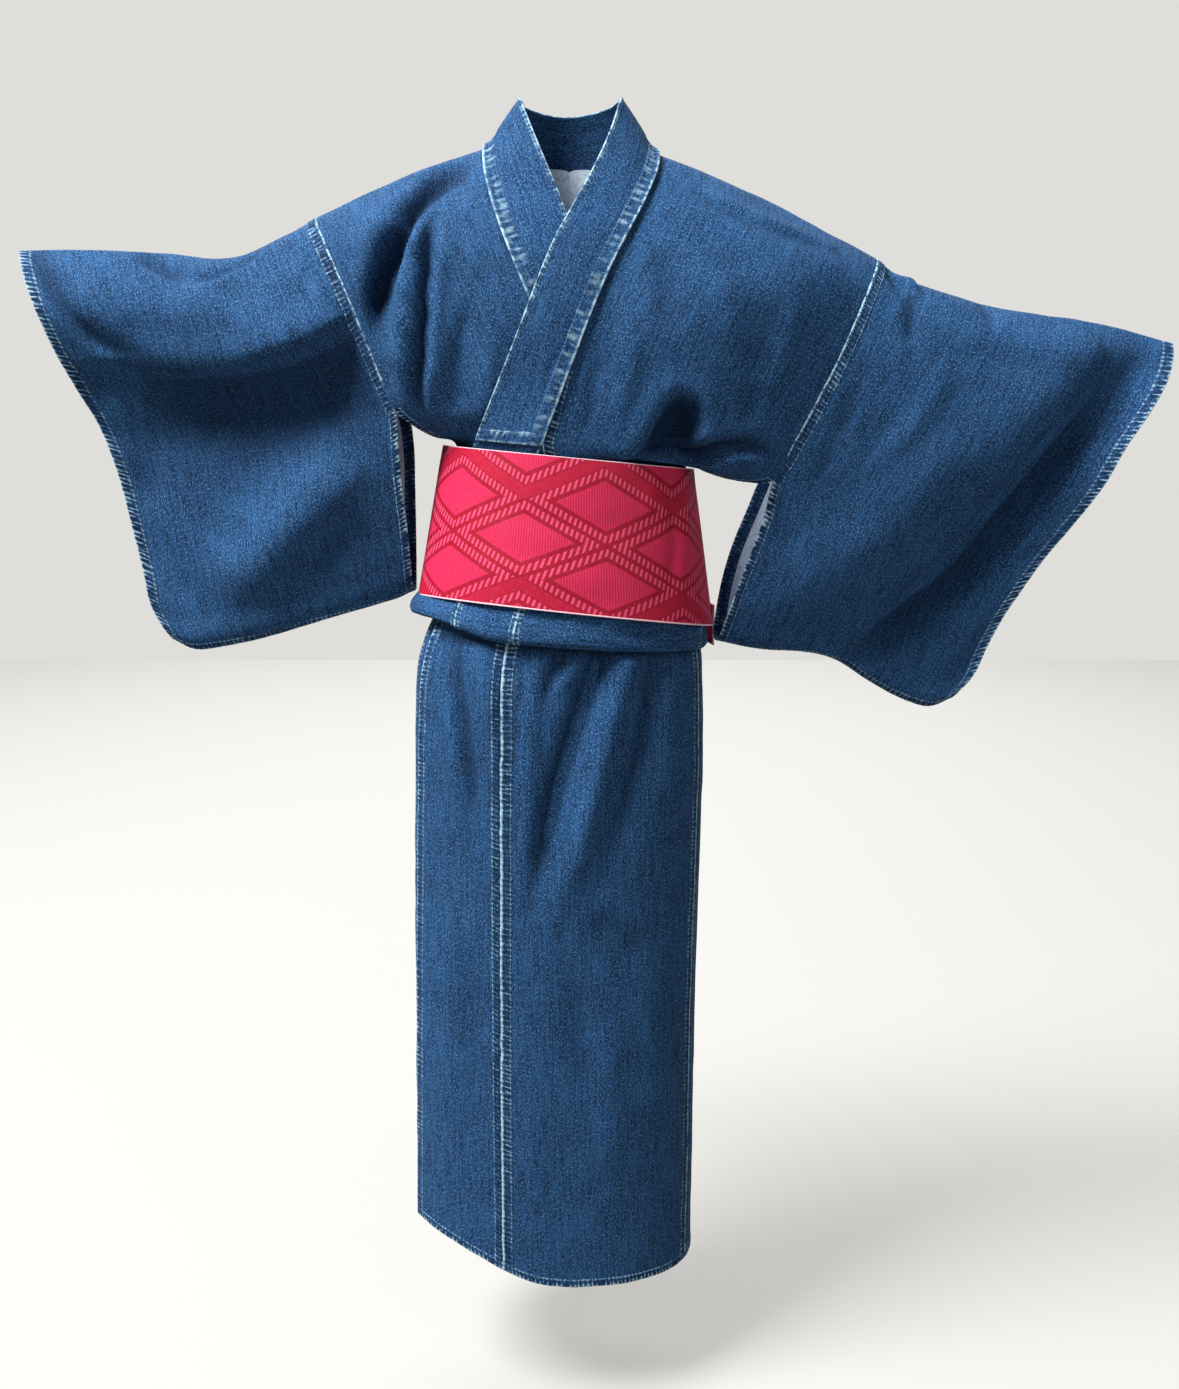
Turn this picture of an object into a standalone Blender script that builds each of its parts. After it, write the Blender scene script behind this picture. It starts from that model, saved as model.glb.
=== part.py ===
"""A denim cotton yukata worn with a half-width obi, as one hollow garment on a general figure.

Built in metres with +Z up. The front faces -Y and +X is the wearer's left. The origin is the middle of
the neck base, where the wearer's shoulders hold the robe up.

Every piece of cloth is a grid of points worked out from short tables of sizes, given a wall of its own
thickness. Rows of a table run along a seam, and neighbouring pieces share the points of their seam, each
drawn back from it by SEAM_GAP. A piece that lies on another is made from the other's points, moved out.
"""
import math

import bpy
import numpy as np

CM = 0.01

# Cloth
DENIM_THICKNESS = 0.0020
OBI_THICKNESS = 0.0024
SEAM_GAP = 0.0004
LAY_GAP = 0.0005
COLLAR_LAP = 0.007
NECK_BACK_EASE = 0.0012

# Lower edge of the upper panels, hidden under the obi: its height at the middle and its slope
TUCK_TOP = -0.460
TUCK_SLOPE = 0.080

# Grid counts
BODY_COLUMNS = 11
OKUMI_COLUMNS = 3
SLEEVE_STATIONS = 12
RING_STEPS = 56

# Colours
DENIM_BLUE = (0.035, 0.095, 0.215, 1.0)
DENIM_DARK = (0.028, 0.078, 0.180, 1.0)
OBI_RED = (0.62, 0.035, 0.075, 1.0)


def clear_scene():
    for old in list(bpy.data.objects):
        bpy.data.objects.remove(old)


def fabric(name, colour, roughness):
    material = bpy.data.materials.new(name)
    material.use_nodes = True
    shader = material.node_tree.nodes["Principled BSDF"]
    shader.inputs["Base Color"].default_value = colour
    shader.inputs["Roughness"].default_value = roughness
    shader.inputs["Metallic"].default_value = 0.0
    return material


def smooth_step(value):
    """0 below 0, 1 above 1 and an S-shaped rise between them."""
    held = np.clip(value, 0.0, 1.0)
    return held * held * (3.0 - 2.0 * held)


def smooth_curve(points, fractions):
    """Catmull-Rom curve through the points, read at fractions of its length."""
    points = np.asarray(points, dtype=float)
    padded = np.vstack([2 * points[0] - points[1], points, 2 * points[-1] - points[-2]])
    steps = np.linspace(0.0, 1.0, 25)[:, None]
    spans = []
    for i in range(1, len(padded) - 2):
        before, start, end, after = padded[i - 1], padded[i], padded[i + 1], padded[i + 2]
        spans.append(0.5 * (2 * start + (end - before) * steps
                            + (2 * before - 5 * start + 4 * end - after) * steps ** 2
                            + (3 * start - before - 3 * end + after) * steps ** 3))
    dense = np.vstack([spans[0]] + [span[1:] for span in spans[1:]])
    lengths = np.r_[0.0, np.cumsum(np.linalg.norm(np.diff(dense, axis=0), axis=1))]
    wanted = np.asarray(fractions) * lengths[-1]
    return np.stack([np.interp(wanted, lengths, dense[:, axis]) for axis in range(dense.shape[1])], axis=1)


def through_rows(table, name, rows):
    """A column of a table read at any row: a cubic with the slopes of its neighbouring rows."""
    at, values = table_column(table, "row"), table_column(table, name)
    slopes = np.gradient(values, at)
    rows = np.asarray(rows, dtype=float)
    k = np.clip(np.searchsorted(at, rows, side="right") - 1, 0, len(at) - 2)
    span = at[k + 1] - at[k]
    t = (rows - at[k]) / span
    return ((2 * t ** 3 - 3 * t ** 2 + 1) * values[k] + (t ** 3 - 2 * t ** 2 + t) * span * slopes[k]
            + (3 * t ** 2 - 2 * t ** 3) * values[k + 1] + (t ** 3 - t ** 2) * span * slopes[k + 1])


def table_column(table, name):
    """One named column of a table whose first row holds the names."""
    place = table[0].index(name)
    return np.array([row[place] for row in table[1:]], dtype=float)


def mean_direction(grid, axis, around=False):
    """At each point, the sum of the unit steps that reach it and leave it along one direction of a grid."""
    step = np.roll(grid, -1, axis=axis) - grid
    step = step / np.maximum(np.linalg.norm(step, axis=2, keepdims=True), 1e-9)
    step = np.moveaxis(step, axis, 0)
    if not around:
        step[-1] = step[-2]
    before = np.roll(step, 1, axis=0)
    if not around:
        before[0] = step[0]
    return np.moveaxis(step + before, 0, axis)


def grid_normals(grid, around=False):
    """Unit normals of a grid of points, by the cross product of its two directions."""
    normals = np.cross(mean_direction(grid, 0, around), mean_direction(grid, 1))
    return normals / np.maximum(np.linalg.norm(normals, axis=2, keepdims=True), 1e-9)


def wall_mesh(name, grid, thickness, around=False, normals=None):
    """A closed wall of the given thickness about a grid; around joins its last row to its first."""
    rows, columns = grid.shape[:2]
    if normals is None:
        normals = grid_normals(grid, around)
    shift = normals * thickness / 2
    vertices = np.concatenate([(grid + shift).reshape(-1, 3), (grid - shift).reshape(-1, 3)])
    index = np.arange(rows * columns).reshape(rows, columns)
    far = index + rows * columns
    faces = []
    last_row = rows if around else rows - 1
    for i in range(last_row):
        k = (i + 1) % rows
        for j in range(columns - 1):
            faces.append((index[i, j], index[k, j], index[k, j + 1], index[i, j + 1]))
            faces.append((far[i, j], far[i, j + 1], far[k, j + 1], far[k, j]))
        faces.append((index[i, 0], far[i, 0], far[k, 0], index[k, 0]))
        faces.append((index[i, -1], index[k, -1], far[k, -1], far[i, -1]))
    if not around:
        for j in range(columns - 1):
            faces.append((index[0, j], index[0, j + 1], far[0, j + 1], far[0, j]))
            faces.append((index[-1, j], far[-1, j], far[-1, j + 1], index[-1, j + 1]))
    mesh = bpy.data.meshes.new(name)
    mesh.from_pydata([tuple(v) for v in vertices.tolist()], [], [tuple(int(i) for i in f) for f in faces])
    mesh.validate()
    return mesh


def signed_volume(mesh):
    total = 0.0
    for face in mesh.polygons:
        corners = [mesh.vertices[i].co for i in face.vertices]
        for k in range(1, len(corners) - 1):
            total += corners[0].dot(corners[k].cross(corners[k + 1])) / 6.0
    return total


def add_cloth(name, grid, thickness, material, around=False, normals=None):
    """One named piece of cloth, its faces pointing out of its wall."""
    mesh = wall_mesh(name, grid, thickness, around, normals)
    if signed_volume(mesh) < 0:
        mesh.flip_normals()
    mesh.materials.append(material)
    mesh.shade_smooth()
    mesh.set_sharp_from_angle(angle=math.radians(50))
    piece = bpy.data.objects.new(name, mesh)
    bpy.context.scene.collection.objects.link(piece)
    return piece


def draw_back(grid, distance, first=False, last=False, start=False, end=False):
    """Moves the edges of a grid inward along the cloth: first and last column, start and end row."""
    moved = grid.copy()

    def pulled(edge, beside):
        along = beside - edge
        return edge + along * distance / np.maximum(np.linalg.norm(along, axis=-1, keepdims=True), 1e-9)

    if first:
        moved[:, 0] = pulled(grid[:, 0], grid[:, 1])
    if last:
        moved[:, -1] = pulled(grid[:, -1], grid[:, -2])
    if start:
        moved[0] = pulled(moved[0], moved[1])
    if end:
        moved[-1] = pulled(moved[-1], moved[-2])
    return moved


# Armholes and sleeves.
# Rows down the sleeve seam, in cm: place across and height of the seam, and half its opening from
# front to back. The first row is the top of the shoulder, the last the lower end of the armhole.
ARMHOLE = {
    "left": [
        ("x", "z", "half_depth"),
        (33.9, -10.0, 0.0),
        (33.5, -10.9, 2.6),
        (32.4, -13.2, 4.9),
        (30.8, -16.9, 6.1),
        (28.9, -21.2, 6.5),
        (26.8, -25.4, 6.5),
        (24.4, -30.0, 6.3),
        (22.4, -33.8, 5.9),
    ],
    "right": [
        ("x", "z", "half_depth"),
        (-27.4, -5.6, 0.0),
        (-27.1, -6.5, 2.6),
        (-26.0, -8.6, 4.8),
        (-24.5, -11.9, 6.0),
        (-22.9, -15.6, 6.4),
        (-21.5, -19.2, 6.4),
        (-20.1, -22.8, 6.2),
        (-18.7, -26.3, 5.8),
    ],
}
# Free inner edge of the sleeve below the armhole, in cm: place, height, half opening, and how far the
# back layer's edge lies towards the body.
FURI = {
    "left": [
        ("x", "z", "half_depth", "back_shift"),
        (21.6, -37.6, 5.4, 0.8),
        (20.4, -41.4, 4.8, 1.2),
        (19.1, -45.2, 4.0, 1.1),
        (17.9, -49.0, 3.0, 0.7),
        (17.1, -51.6, 1.6, 0.3),
    ],
    "right": [
        ("x", "z", "half_depth", "back_shift"),
        (-18.5, -30.4, 5.2, 0.4),
        (-18.3, -34.4, 4.6, 0.3),
        (-18.0, -38.4, 3.8, 0.1),
        (-17.8, -42.4, 2.8, 0.0),
        (-17.7, -45.6, 1.5, 0.0),
    ],
}
# Outline of the laid sleeve, in cm (across, height): along the arm, down the outer edge, along the bottom
SLEEVE_TOP = {
    "left": [(33.9, -10.0), (36.4, -11.8), (41.7, -13.6), (47.4, -15.2), (58.5, -16.9), (67.0, -19.0)],
    "right": [(-27.4, -5.6), (-31.7, -7.9), (-36.9, -9.9), (-43.5, -9.5), (-51.5, -9.0), (-60.2, -9.1)],
}
SLEEVE_OUTER = {
    "left": [(67.0, -19.0), (65.6, -23.6), (61.6, -30.3), (58.7, -36.4), (55.2, -41.4), (51.7, -47.2),
             (48.8, -53.0), (47.2, -56.8), (45.0, -59.2)],
    "right": [(-60.2, -9.1), (-58.4, -13.5), (-56.4, -19.0), (-54.3, -24.4), (-51.9, -29.8), (-50.3, -36.4),
              (-48.9, -43.5), (-47.7, -49.0), (-45.7, -52.0)],
}
SLEEVE_BOTTOM = {
    "left": [(16.9, -52.0), (21.5, -52.9), (27.0, -53.3), (31.0, -54.4), (35.0, -57.0), (39.2, -59.3),
             (42.4, -60.2), (45.0, -59.2)],
    "right": [(-17.6, -46.2), (-21.5, -47.7), (-27.0, -49.3), (-33.0, -51.1), (-38.5, -52.5), (-43.2, -53.1),
              (-45.7, -52.0)],
}
# Half depth of the sleeve at its outer edge, as far down as each row
CUFF_HALF_DEPTH = [
    ("down", "half_depth"),
    (0.00, 0.0),
    (0.03, 1.7),
    (0.09, 2.9),
    (0.20, 3.1),
    (0.36, 2.0),
    (0.50, 0.8),
    (0.60, 0.45),
    (1.00, 0.45),
]


def armhole_loop(side):
    """Points of the sleeve seam from the lower front end, over the shoulder, to the lower back end."""
    table = ARMHOLE[side]
    x, z, depth = (table_column(table, name) * CM for name in ("x", "z", "half_depth"))
    front = np.stack([x, -depth, z], axis=1)[::-1]
    back = np.stack([x, depth, z], axis=1)[1:]
    return np.vstack([front, back])


def sleeve_inner_edge(side):
    """One layer's inner edge from the shoulder to the sleeve's bottom: seam, then free edge."""
    hole, free = ARMHOLE[side], FURI[side]
    x = np.r_[table_column(hole, "x"), table_column(free, "x"), SLEEVE_BOTTOM[side][0][0]]
    z = np.r_[table_column(hole, "z"), table_column(free, "z"), SLEEVE_BOTTOM[side][0][1]]
    depth = np.r_[table_column(hole, "half_depth"), table_column(free, "half_depth"), 0.0]
    shift = np.r_[np.zeros(len(hole) - 1), table_column(free, "back_shift"), 0.0]
    return x * CM, z * CM, depth * CM, shift * CM


# Folds of the sleeves, in cm: a line from one place to the next across the sleeve, its half width and
# how far the front layer stands out (+) or sinks (-) along it.
SLEEVE_FOLDS = {
    "left": [
        ("x0", "z0", "x1", "z1", "half_width", "height"),
        (62.0, -23.0, 31.0, -55.0, 3.6, -1.7),
        (55.0, -21.0, 26.0, -46.0, 5.0, 0.9),
        (64.0, -27.0, 47.0, -56.0, 3.5, 0.7),
    ],
    "right": [
        ("x0", "z0", "x1", "z1", "half_width", "height"),
        (-53.0, -14.0, -33.0, -17.0, 4.6, 1.5),
        (-52.0, -22.0, -27.0, -19.0, 3.4, -1.3),
        (-26.0, -30.0, -37.0, -44.0, 3.2, 0.9),
    ],
}
# How far each layer of the sleeve lies from the line of their seam along the bottom
SLEEVE_SEAM_STAND_OFF = 0.00125
# How far the sleeve's lower outer corner swings back, in cm, beyond a slanting line
SLEEVE_SWING = {"left": 2.6, "right": 0.8}


def fold_height(x, z, table):
    """Sum of soft folds: each a bell across its line, fading out past both its ends."""
    height = np.zeros_like(x)
    names = ("x0", "z0", "x1", "z1", "half_width", "height")
    for x0, z0, x1, z1, half_width, tall in zip(*(table_column(table, name) * CM for name in names)):
        length = math.hypot(x1 - x0, z1 - z0)
        along = ((x - x0) * (x1 - x0) + (z - z0) * (z1 - z0)) / length ** 2
        across = ((x - x0) * (z1 - z0) - (z - z0) * (x1 - x0)) / length
        reach = np.maximum(np.abs(along - 0.5) - 0.5, 0.0) * length
        height += tall * np.exp(-(across ** 2 + reach ** 2) / half_width ** 2)
    return height


def sleeve_grid(side):
    """The sleeve as a loop round the arm (rows) carried from its seam to its outer edge (columns)."""
    x, z, depth, shift = sleeve_inner_edge(side)
    lengths = np.r_[0.0, np.cumsum(np.hypot(np.diff(x), np.diff(z)))]
    down = lengths / lengths[-1]
    u = np.linspace(0.0, 1.0, SLEEVE_STATIONS)
    top = smooth_curve(np.array(SLEEVE_TOP[side]) * CM, u)
    bottom = smooth_curve(np.array(SLEEVE_BOTTOM[side]) * CM, u)
    outer = smooth_curve(np.array(SLEEVE_OUTER[side]) * CM, down)
    inner = np.stack([x, z], axis=1)
    v = down[:, None, None]
    w = u[None, :, None]
    flat = ((1 - v) * top[None] + v * bottom[None] + (1 - w) * inner[:, None] + w * outer[:, None]
            - (1 - v) * ((1 - w) * top[0] + w * top[-1]) - v * ((1 - w) * bottom[0] + w * bottom[-1]))
    cuff_rows, cuff_depths = (table_column(CUFF_HALF_DEPTH, name) for name in ("down", "half_depth"))
    cuff = np.interp(down, cuff_rows, cuff_depths * CM)
    cuff[-1] = 0.0
    mix = smooth_step(u * 1.05)[None, :]
    half = (1 - mix) * depth[:, None] + mix * cuff[:, None]
    across, height = flat[:, :, 0], flat[:, :, 1]
    inside = smooth_step(down / 0.10)[:, None] * smooth_step(u / 0.12)[None, :]
    above_bottom = smooth_step((1 - down) / 0.15)[:, None]
    raised = fold_height(across, height, SLEEVE_FOLDS[side]) * inside * above_bottom
    swing = smooth_step((down[:, None] - 0.25) / 0.6) * smooth_step((u[None, :] - 0.35) / 0.5)
    swing *= SLEEVE_SWING[side] * CM
    front = np.stack([across, swing - half - raised, height], axis=2)
    back = np.stack([across - np.sign(across) * shift[:, None] * (1 - w[0].T), swing + half + 0.35 * raised,
                     height], axis=2)
    return np.concatenate([front[::-1], back[1:-1]])


# Body panels above the obi. Rows 0 to 4 climb the front below the armhole, 5 to 19 follow the armhole
# over the shoulder (row 12), and 20 to 24 go down the back.
SHOULDER_ROW = 12
NECK_BACK_ROW = 16
LAST_ROW = 24
# Collar seam and the collar's free edge, in cm; from row 16 the seam runs down the centre back
NECK_ROWS = {
    "left": [
        ("row", "x", "y", "z", "free_x", "free_y", "free_z"),
        (0, -9.5, -9.56, -45.2, -14.0, -4.9, -44.9),
        (1, -6.7, -10.2, -38.5, -11.9, -6.5, -38.0),
        (2, -4.1, -10.4, -31.4, -10.3, -7.0, -31.0),
        (3, -3.6, -10.9, -30.3, -9.8, -7.7, -29.8),
        (5, -0.7, -11.6, -22.9, -5.7, -11.3, -20.4),
        (8, 3.9, -10.9, -11.8, -1.1, -10.6, -9.2),
        (10, 7.3, -8.0, -5.2, 2.4, -8.0, -2.7),
        (11, 8.7, -5.0, -1.6, 4.3, -5.6, 1.8),
        (12, 8.9, -0.6, 1.2, 5.4, -1.9, 6.0),
        (13, 8.2, 3.0, 1.4, 5.3, 1.4, 6.5),
        (14, 6.3, 5.6, 1.2, 4.3, 3.9, 6.4),
        (15, 3.4, 7.3, 0.9, 2.4, 5.6, 6.3),
        (16, 0.0, 7.9, 0.7, 0.0, 6.2, 6.2),
        (17, 0.0, 8.9, -4.4, 0.0, 0.0, 0.0),
        (18, 0.0, 9.9, -9.5, 0.0, 0.0, 0.0),
        (20, 0.0, 10.8, -20.0, 0.0, 0.0, 0.0),
        (22, 0.0, 11.0, -31.6, 0.0, 0.0, 0.0),
        (23, 0.0, 11.7, -38.5, 0.0, 0.0, 0.0),
        (24, 0.0, 12.3, -46.0, 0.0, 0.0, 0.0),
    ],
    "right": [
        ("row", "x", "y", "z", "free_x", "free_y", "free_z"),
        (0, 9.5, -8.4, -46.7, 13.2, -4.3, -47.0),
        (1, 6.7, -9.16, -38.5, 11.3, -5.5, -38.5),
        (2, 4.1, -9.35, -31.8, 9.5, -6.4, -31.4),
        (5, 0.3, -10.2, -22.9, 5.1, -9.8, -20.7),
        (8, -4.4, -9.5, -12.2, 1.1, -9.0, -9.7),
        (10, -7.0, -7.2, -5.5, -1.4, -6.9, -3.2),
        (11, -8.0, -4.6, -1.5, -3.2, -5.2, 1.4),
        (12, -8.2, -0.6, 1.7, -4.8, -1.9, 5.9),
        (13, -7.6, 3.0, 1.8, -4.9, 1.4, 6.3),
        (14, -6.0, 5.6, 1.4, -4.2, 3.9, 6.3),
        (15, -3.3, 7.3, 1.0, -2.3, 5.6, 6.2),
        (16, 0.0, 7.9, 0.7, 0.0, 6.2, 6.2),
        (17, 0.0, 8.9, -4.4, 0.0, 0.0, 0.0),
        (18, 0.0, 9.9, -9.5, 0.0, 0.0, 0.0),
        (20, 0.0, 10.8, -20.0, 0.0, 0.0, 0.0),
        (22, 0.0, 11.0, -31.6, 0.0, 0.0, 0.0),
        (23, 0.0, 11.7, -38.5, 0.0, 0.0, 0.0),
        (24, 0.0, 12.3, -46.0, 0.0, 0.0, 0.0),
    ],
}
# Open side edge below the armhole, in cm; the back one mirrors it front to back
SIDE_ROWS = {
    "left": [
        ("row", "x", "half_depth", "z"),
        (0, 15.3, 0.04, -47.2),
        (1, 14.2, 0.04, -38.5),
        (2, 13.3, 0.9, -31.9),
        (3, 15.9, 3.6, -33.0),
        (4, 19.2, 5.1, -33.9),
    ],
    "right": [
        ("row", "x", "half_depth", "z"),
        (0, -14.4, 0.04, -44.8),
        (1, -13.3, 0.04, -38.5),
        (2, -12.9, 0.9, -29.4),
        (3, -14.6, 3.0, -29.1),
        (4, -16.6, 5.1, -28.0),
    ],
}
# Roundness of each row: how much of the waist's curve it takes, how far its middle stands out and how
# far it rises, in cm
FULLNESS = [
    ("row", "wrap", "swell", "rise"),
    (0, 1.00, 0.0, 0.0),
    (2, 1.00, 0.0, 0.0),
    (4, 0.72, 0.6, 0.0),
    (6, 0.42, 1.4, 0.0),
    (8, 0.22, 1.9, 0.0),
    (10, 0.08, 1.5, 0.2),
    (12, 0.00, 0.2, 0.6),
    (14, 0.00, 0.8, 0.3),
    (16, 0.08, 1.2, 0.0),
    (18, 0.25, 1.2, 0.0),
    (20, 0.62, 0.7, 0.0),
    (22, 1.00, 0.0, 0.0),
    (24, 1.00, 0.0, 0.0),
]
SWELL_SHARE = {"left": 1.0, "right": 0.6}
# Width of the overlap panel between the collar and the front panel, in cm
OKUMI_WIDTH = [("row", "width"), (0, 4.5), (1, 2.9), (2, 1.6), (3, 1.0), (4, 0.45)]
# Folds of the fronts, in cm, as for the sleeves
BODY_FOLDS = {
    "left": [
        ("x0", "z0", "x1", "z1", "half_width", "height"),
        (10.5, -24.5, 13.5, -30.5, 1.7, -1.0),
        (14.5, -29.6, 21.0, -30.4, 1.2, 0.6),
        (14.0, -4.0, 28.0, -10.0, 1.6, -0.4),
        (9.0, -18.0, 27.0, -13.0, 4.0, 0.4),
    ],
    "right": [
        ("x0", "z0", "x1", "z1", "half_width", "height"),
        (-12.0, -3.0, -18.6, -12.5, 1.7, -0.9),
        (-18.6, -12.5, -19.6, -21.5, 1.7, -1.1),
        (-15.6, -5.0, -16.6, -22.0, 1.8, 0.9),
        (-11.5, -12.0, -12.0, -24.0, 2.2, -0.5),
    ],
}


def body_edges(side, rows):
    """Collar seam, side edge and collar free edge of the given whole rows, as (rows, 3) points."""
    neck = np.stack([through_rows(NECK_ROWS[side], name, rows) for name in ("x", "y", "z")], axis=1) * CM
    free_names = ("free_x", "free_y", "free_z")
    free = np.stack([through_rows(NECK_ROWS[side], name, rows) for name in free_names], axis=1) * CM
    neck[rows >= NECK_BACK_ROW, 0] = 0.0
    table = SIDE_ROWS[side]
    x, depth, z = (table_column(table, name) * CM for name in ("x", "half_depth", "z"))
    front = np.stack([x, -depth, z], axis=1)
    back = np.stack([x, depth, z], axis=1)[::-1]
    side_edge = np.vstack([front, armhole_loop(side), back])
    return neck, side_edge[rows], free


def row_ellipse(neck, side_edge):
    """For each row, the ellipse about the figure's middle that passes through both its ends."""
    start = np.zeros((len(neck), 1))
    depth = neck[:, 1:2].copy()
    reach = side_edge[:, 0:1].copy()
    for _ in range(6):
        end = np.arccos(np.clip(side_edge[:, 1:2] / depth, 0.0, 0.95))
        reach = side_edge[:, 0:1] / np.sin(end)
        start = np.arcsin(np.clip(neck[:, 0:1] / reach, -0.95, 0.95))
        depth = neck[:, 1:2] / np.cos(start)
    return start, end, reach, depth


def body_point(side, u):
    """The upper panel at u (0 at the collar seam, 1 at the side), for every row: (rows, columns, 3)."""
    rows = np.arange(LAST_ROW + 1)
    neck, side_edge, _ = body_edges(side, rows)
    u = np.broadcast_to(u, (len(rows), u.shape[-1]))
    chord = neck[:, None] * (1 - u[..., None]) + side_edge[:, None] * u[..., None]
    start, end, reach, depth = row_ellipse(neck, side_edge)
    turn = start + (end - start) * u
    bow_x = reach * np.sin(turn) - chord[..., 0]
    bow_y = depth * np.cos(turn) - chord[..., 1]
    wrap, swell, rise = (through_rows(FULLNESS, name, rows)[:, None] for name in ("wrap", "swell", "rise"))
    facing = np.clip((rows - SHOULDER_ROW) / 2.0, -1.0, 1.0)[:, None]
    grid = chord.copy()
    grid[..., 0] += wrap * bow_x
    grid[..., 1] += wrap * bow_y + facing * swell * SWELL_SHARE[side] * CM * np.sin(math.pi * u)
    grid[..., 2] += rise * CM * np.sin(math.pi * u)
    flat = smooth_step(u / 0.15) * smooth_step((1 - u) / 0.30) * (rows < SHOULDER_ROW)[:, None]
    low = smooth_step((rows[:, None] - 1.0) / 2.0)
    grid[..., 1] -= fold_height(grid[..., 0], grid[..., 2], BODY_FOLDS[side]) * flat * low
    grid[0, :, 2] = TUCK_TOP - TUCK_SLOPE * grid[0, :, 0]
    grid[-1, :, 2] = TUCK_TOP - TUCK_SLOPE * grid[-1, :, 0]
    return grid


def okumi_share(side):
    """Share of each row that the overlap panel takes."""
    rows = np.arange(LAST_ROW + 1)
    neck, side_edge, _ = body_edges(side, rows)
    length = np.linalg.norm(side_edge - neck, axis=1)
    width = np.zeros(LAST_ROW + 1)
    count = len(OKUMI_WIDTH) - 1
    width[:count] = table_column(OKUMI_WIDTH, "width") * CM
    return (width / length)[:, None]


def upper_panels(side):
    """The body panel and the overlap panel above the tuck."""
    share = okumi_share(side)
    across = np.linspace(0.0, 1.0, BODY_COLUMNS)[None, :]
    body = body_point(side, share + (1 - share) * across)
    okumi = body_point(side, share * np.linspace(0.0, 1.0, OKUMI_COLUMNS)[None, :])
    count = len(OKUMI_WIDTH) - 1
    return body, okumi[:count]


def layers(grid, normals):
    """The front and the back of an upper panel, parted along the fold on the shoulder."""
    front, back = slice(0, SHOULDER_ROW + 1), slice(SHOULDER_ROW, None)
    return {
        "front": (draw_back(grid[front], SEAM_GAP, end=True), normals[front]),
        "back": (draw_back(grid[back], SEAM_GAP, start=True), normals[back]),
    }


def sleeve_layers(loop):
    """The front and the back of a sleeve, parted along the fold on the arm and the seam at the bottom."""
    normals = grid_normals(loop, around=True)
    top = len(loop) // 2
    found = {}
    for name, rows, away in (("front", np.arange(top + 1), -1.0), ("back", np.arange(top, len(loop) + 1), 1.0)):
        rows = rows % len(loop)
        bottom = 0 if name == "front" else -1
        layer, out = loop[rows].copy(), normals[rows].copy()
        layer[bottom, :, 1] += away * SLEEVE_SEAM_STAND_OFF
        out[bottom] = grid_normals(layer)[bottom]
        found[name] = (draw_back(layer, SEAM_GAP, start=name == "back", end=name == "front"), out)
    return found


def centre_back_normals(grid):
    """Normals of an upper panel, level along the centre back so that its two edges meet flat."""
    normals = grid_normals(grid)
    normals[NECK_BACK_ROW:, 0, 0] = 0.0
    return normals / np.linalg.norm(normals, axis=2, keepdims=True)


def out_of_body(side, grid):
    """Unit normals of a body grid that point away from the wearer."""
    return grid_normals(grid) * (-1.0 if side == "left" else 1.0)


def collar_half(side):
    """One side of the collar, from the front tuck to the centre back: laps the body, then its free edge."""
    rows = np.arange(LAST_ROW + 1)
    neck, side_edge, free = body_edges(side, rows)
    length = np.linalg.norm(side_edge - neck, axis=1)
    lap = (COLLAR_LAP / length)[:, None]
    strip = body_point(side, lap * np.array([[0.0, 1.0, 2.0]]))
    normals = out_of_body(side, strip)
    behind = smooth_step((rows - SHOULDER_ROW) / 3.0)[:, None]
    lift = DENIM_THICKNESS + LAY_GAP + NECK_BACK_EASE * behind
    seam = strip[:, 0] + normals[:, 0] * lift
    lapped = strip[:, 1] + normals[:, 1] * lift
    free = free + normals[:, 0] * lift
    third = seam + (free - seam) / 3 + normals[:, 0] * 0.0012
    two_thirds = seam + (free - seam) * 2 / 3 + normals[:, 0] * 0.0012
    grid = np.stack([lapped, seam, third, two_thirds, free], axis=1)
    return grid[:NECK_BACK_ROW + 1]


def collar_grid():
    """The whole collar in one band, from the left front round the neck to the right front."""
    left, right = collar_half("left"), collar_half("right")
    middle = (left[-1] + right[-1]) / 2
    middle[:, 0] = 0.0
    return np.concatenate([left[:-1], middle[None], right[:-1][::-1]])


# The over-collar lies on the collar between its two end seams, this many rows up each front
OVER_COLLAR_END = 3


def over_collar_grid(collar):
    """The collar's points between the end seams, moved out by one thickness and a gap, and their normals."""
    normals = grid_normals(collar)
    kept = slice(OVER_COLLAR_END, len(collar) - OVER_COLLAR_END)
    return (collar + normals * (DENIM_THICKNESS + LAY_GAP))[kept], normals[kept]


# Skirt: one cloth wound round the hips. Angles in degrees from the front, rising to the wearer's left.
# The sections' rows are depths below the origin, in cm.
SKIRT_SECTIONS = [
    ("row", "centre_x", "half_width", "half_depth"),
    (44.0, 0.2, 13.6, 10.8),
    (47.0, -0.2, 14.6, 11.2),
    (50.0, -0.8, 15.7, 11.7),
    (54.0, -1.2, 16.7, 12.1),
    (60.0, -1.3, 17.1, 12.1),
    (70.0, -1.5, 17.2, 12.0),
    (95.0, -1.9, 17.2, 11.8),
    (128.0, -2.2, 17.2, 11.6),
]
SKIRT_ROW_DROPS = (0.0, 0.018, 0.036, 0.056, 0.09, 0.15, 0.24, 0.34, 0.45, 0.56, 0.68, 0.79)
SKIRT_ROUNDNESS = 2.25
SKIRT_START_DROP = 0.010
LAYER_STEP = 0.009
OUTER_EDGE_ANGLE = {"top": -62.0, "hem": -77.0}
OKUMI_SEAM_ANGLE = {"top": -13.0, "hem": -18.0}
SIDE_SEAM_ANGLE = 84.0
CENTRE_BACK_ANGLE = 180.0
FAR_SIDE_ANGLE = 276.0
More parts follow.
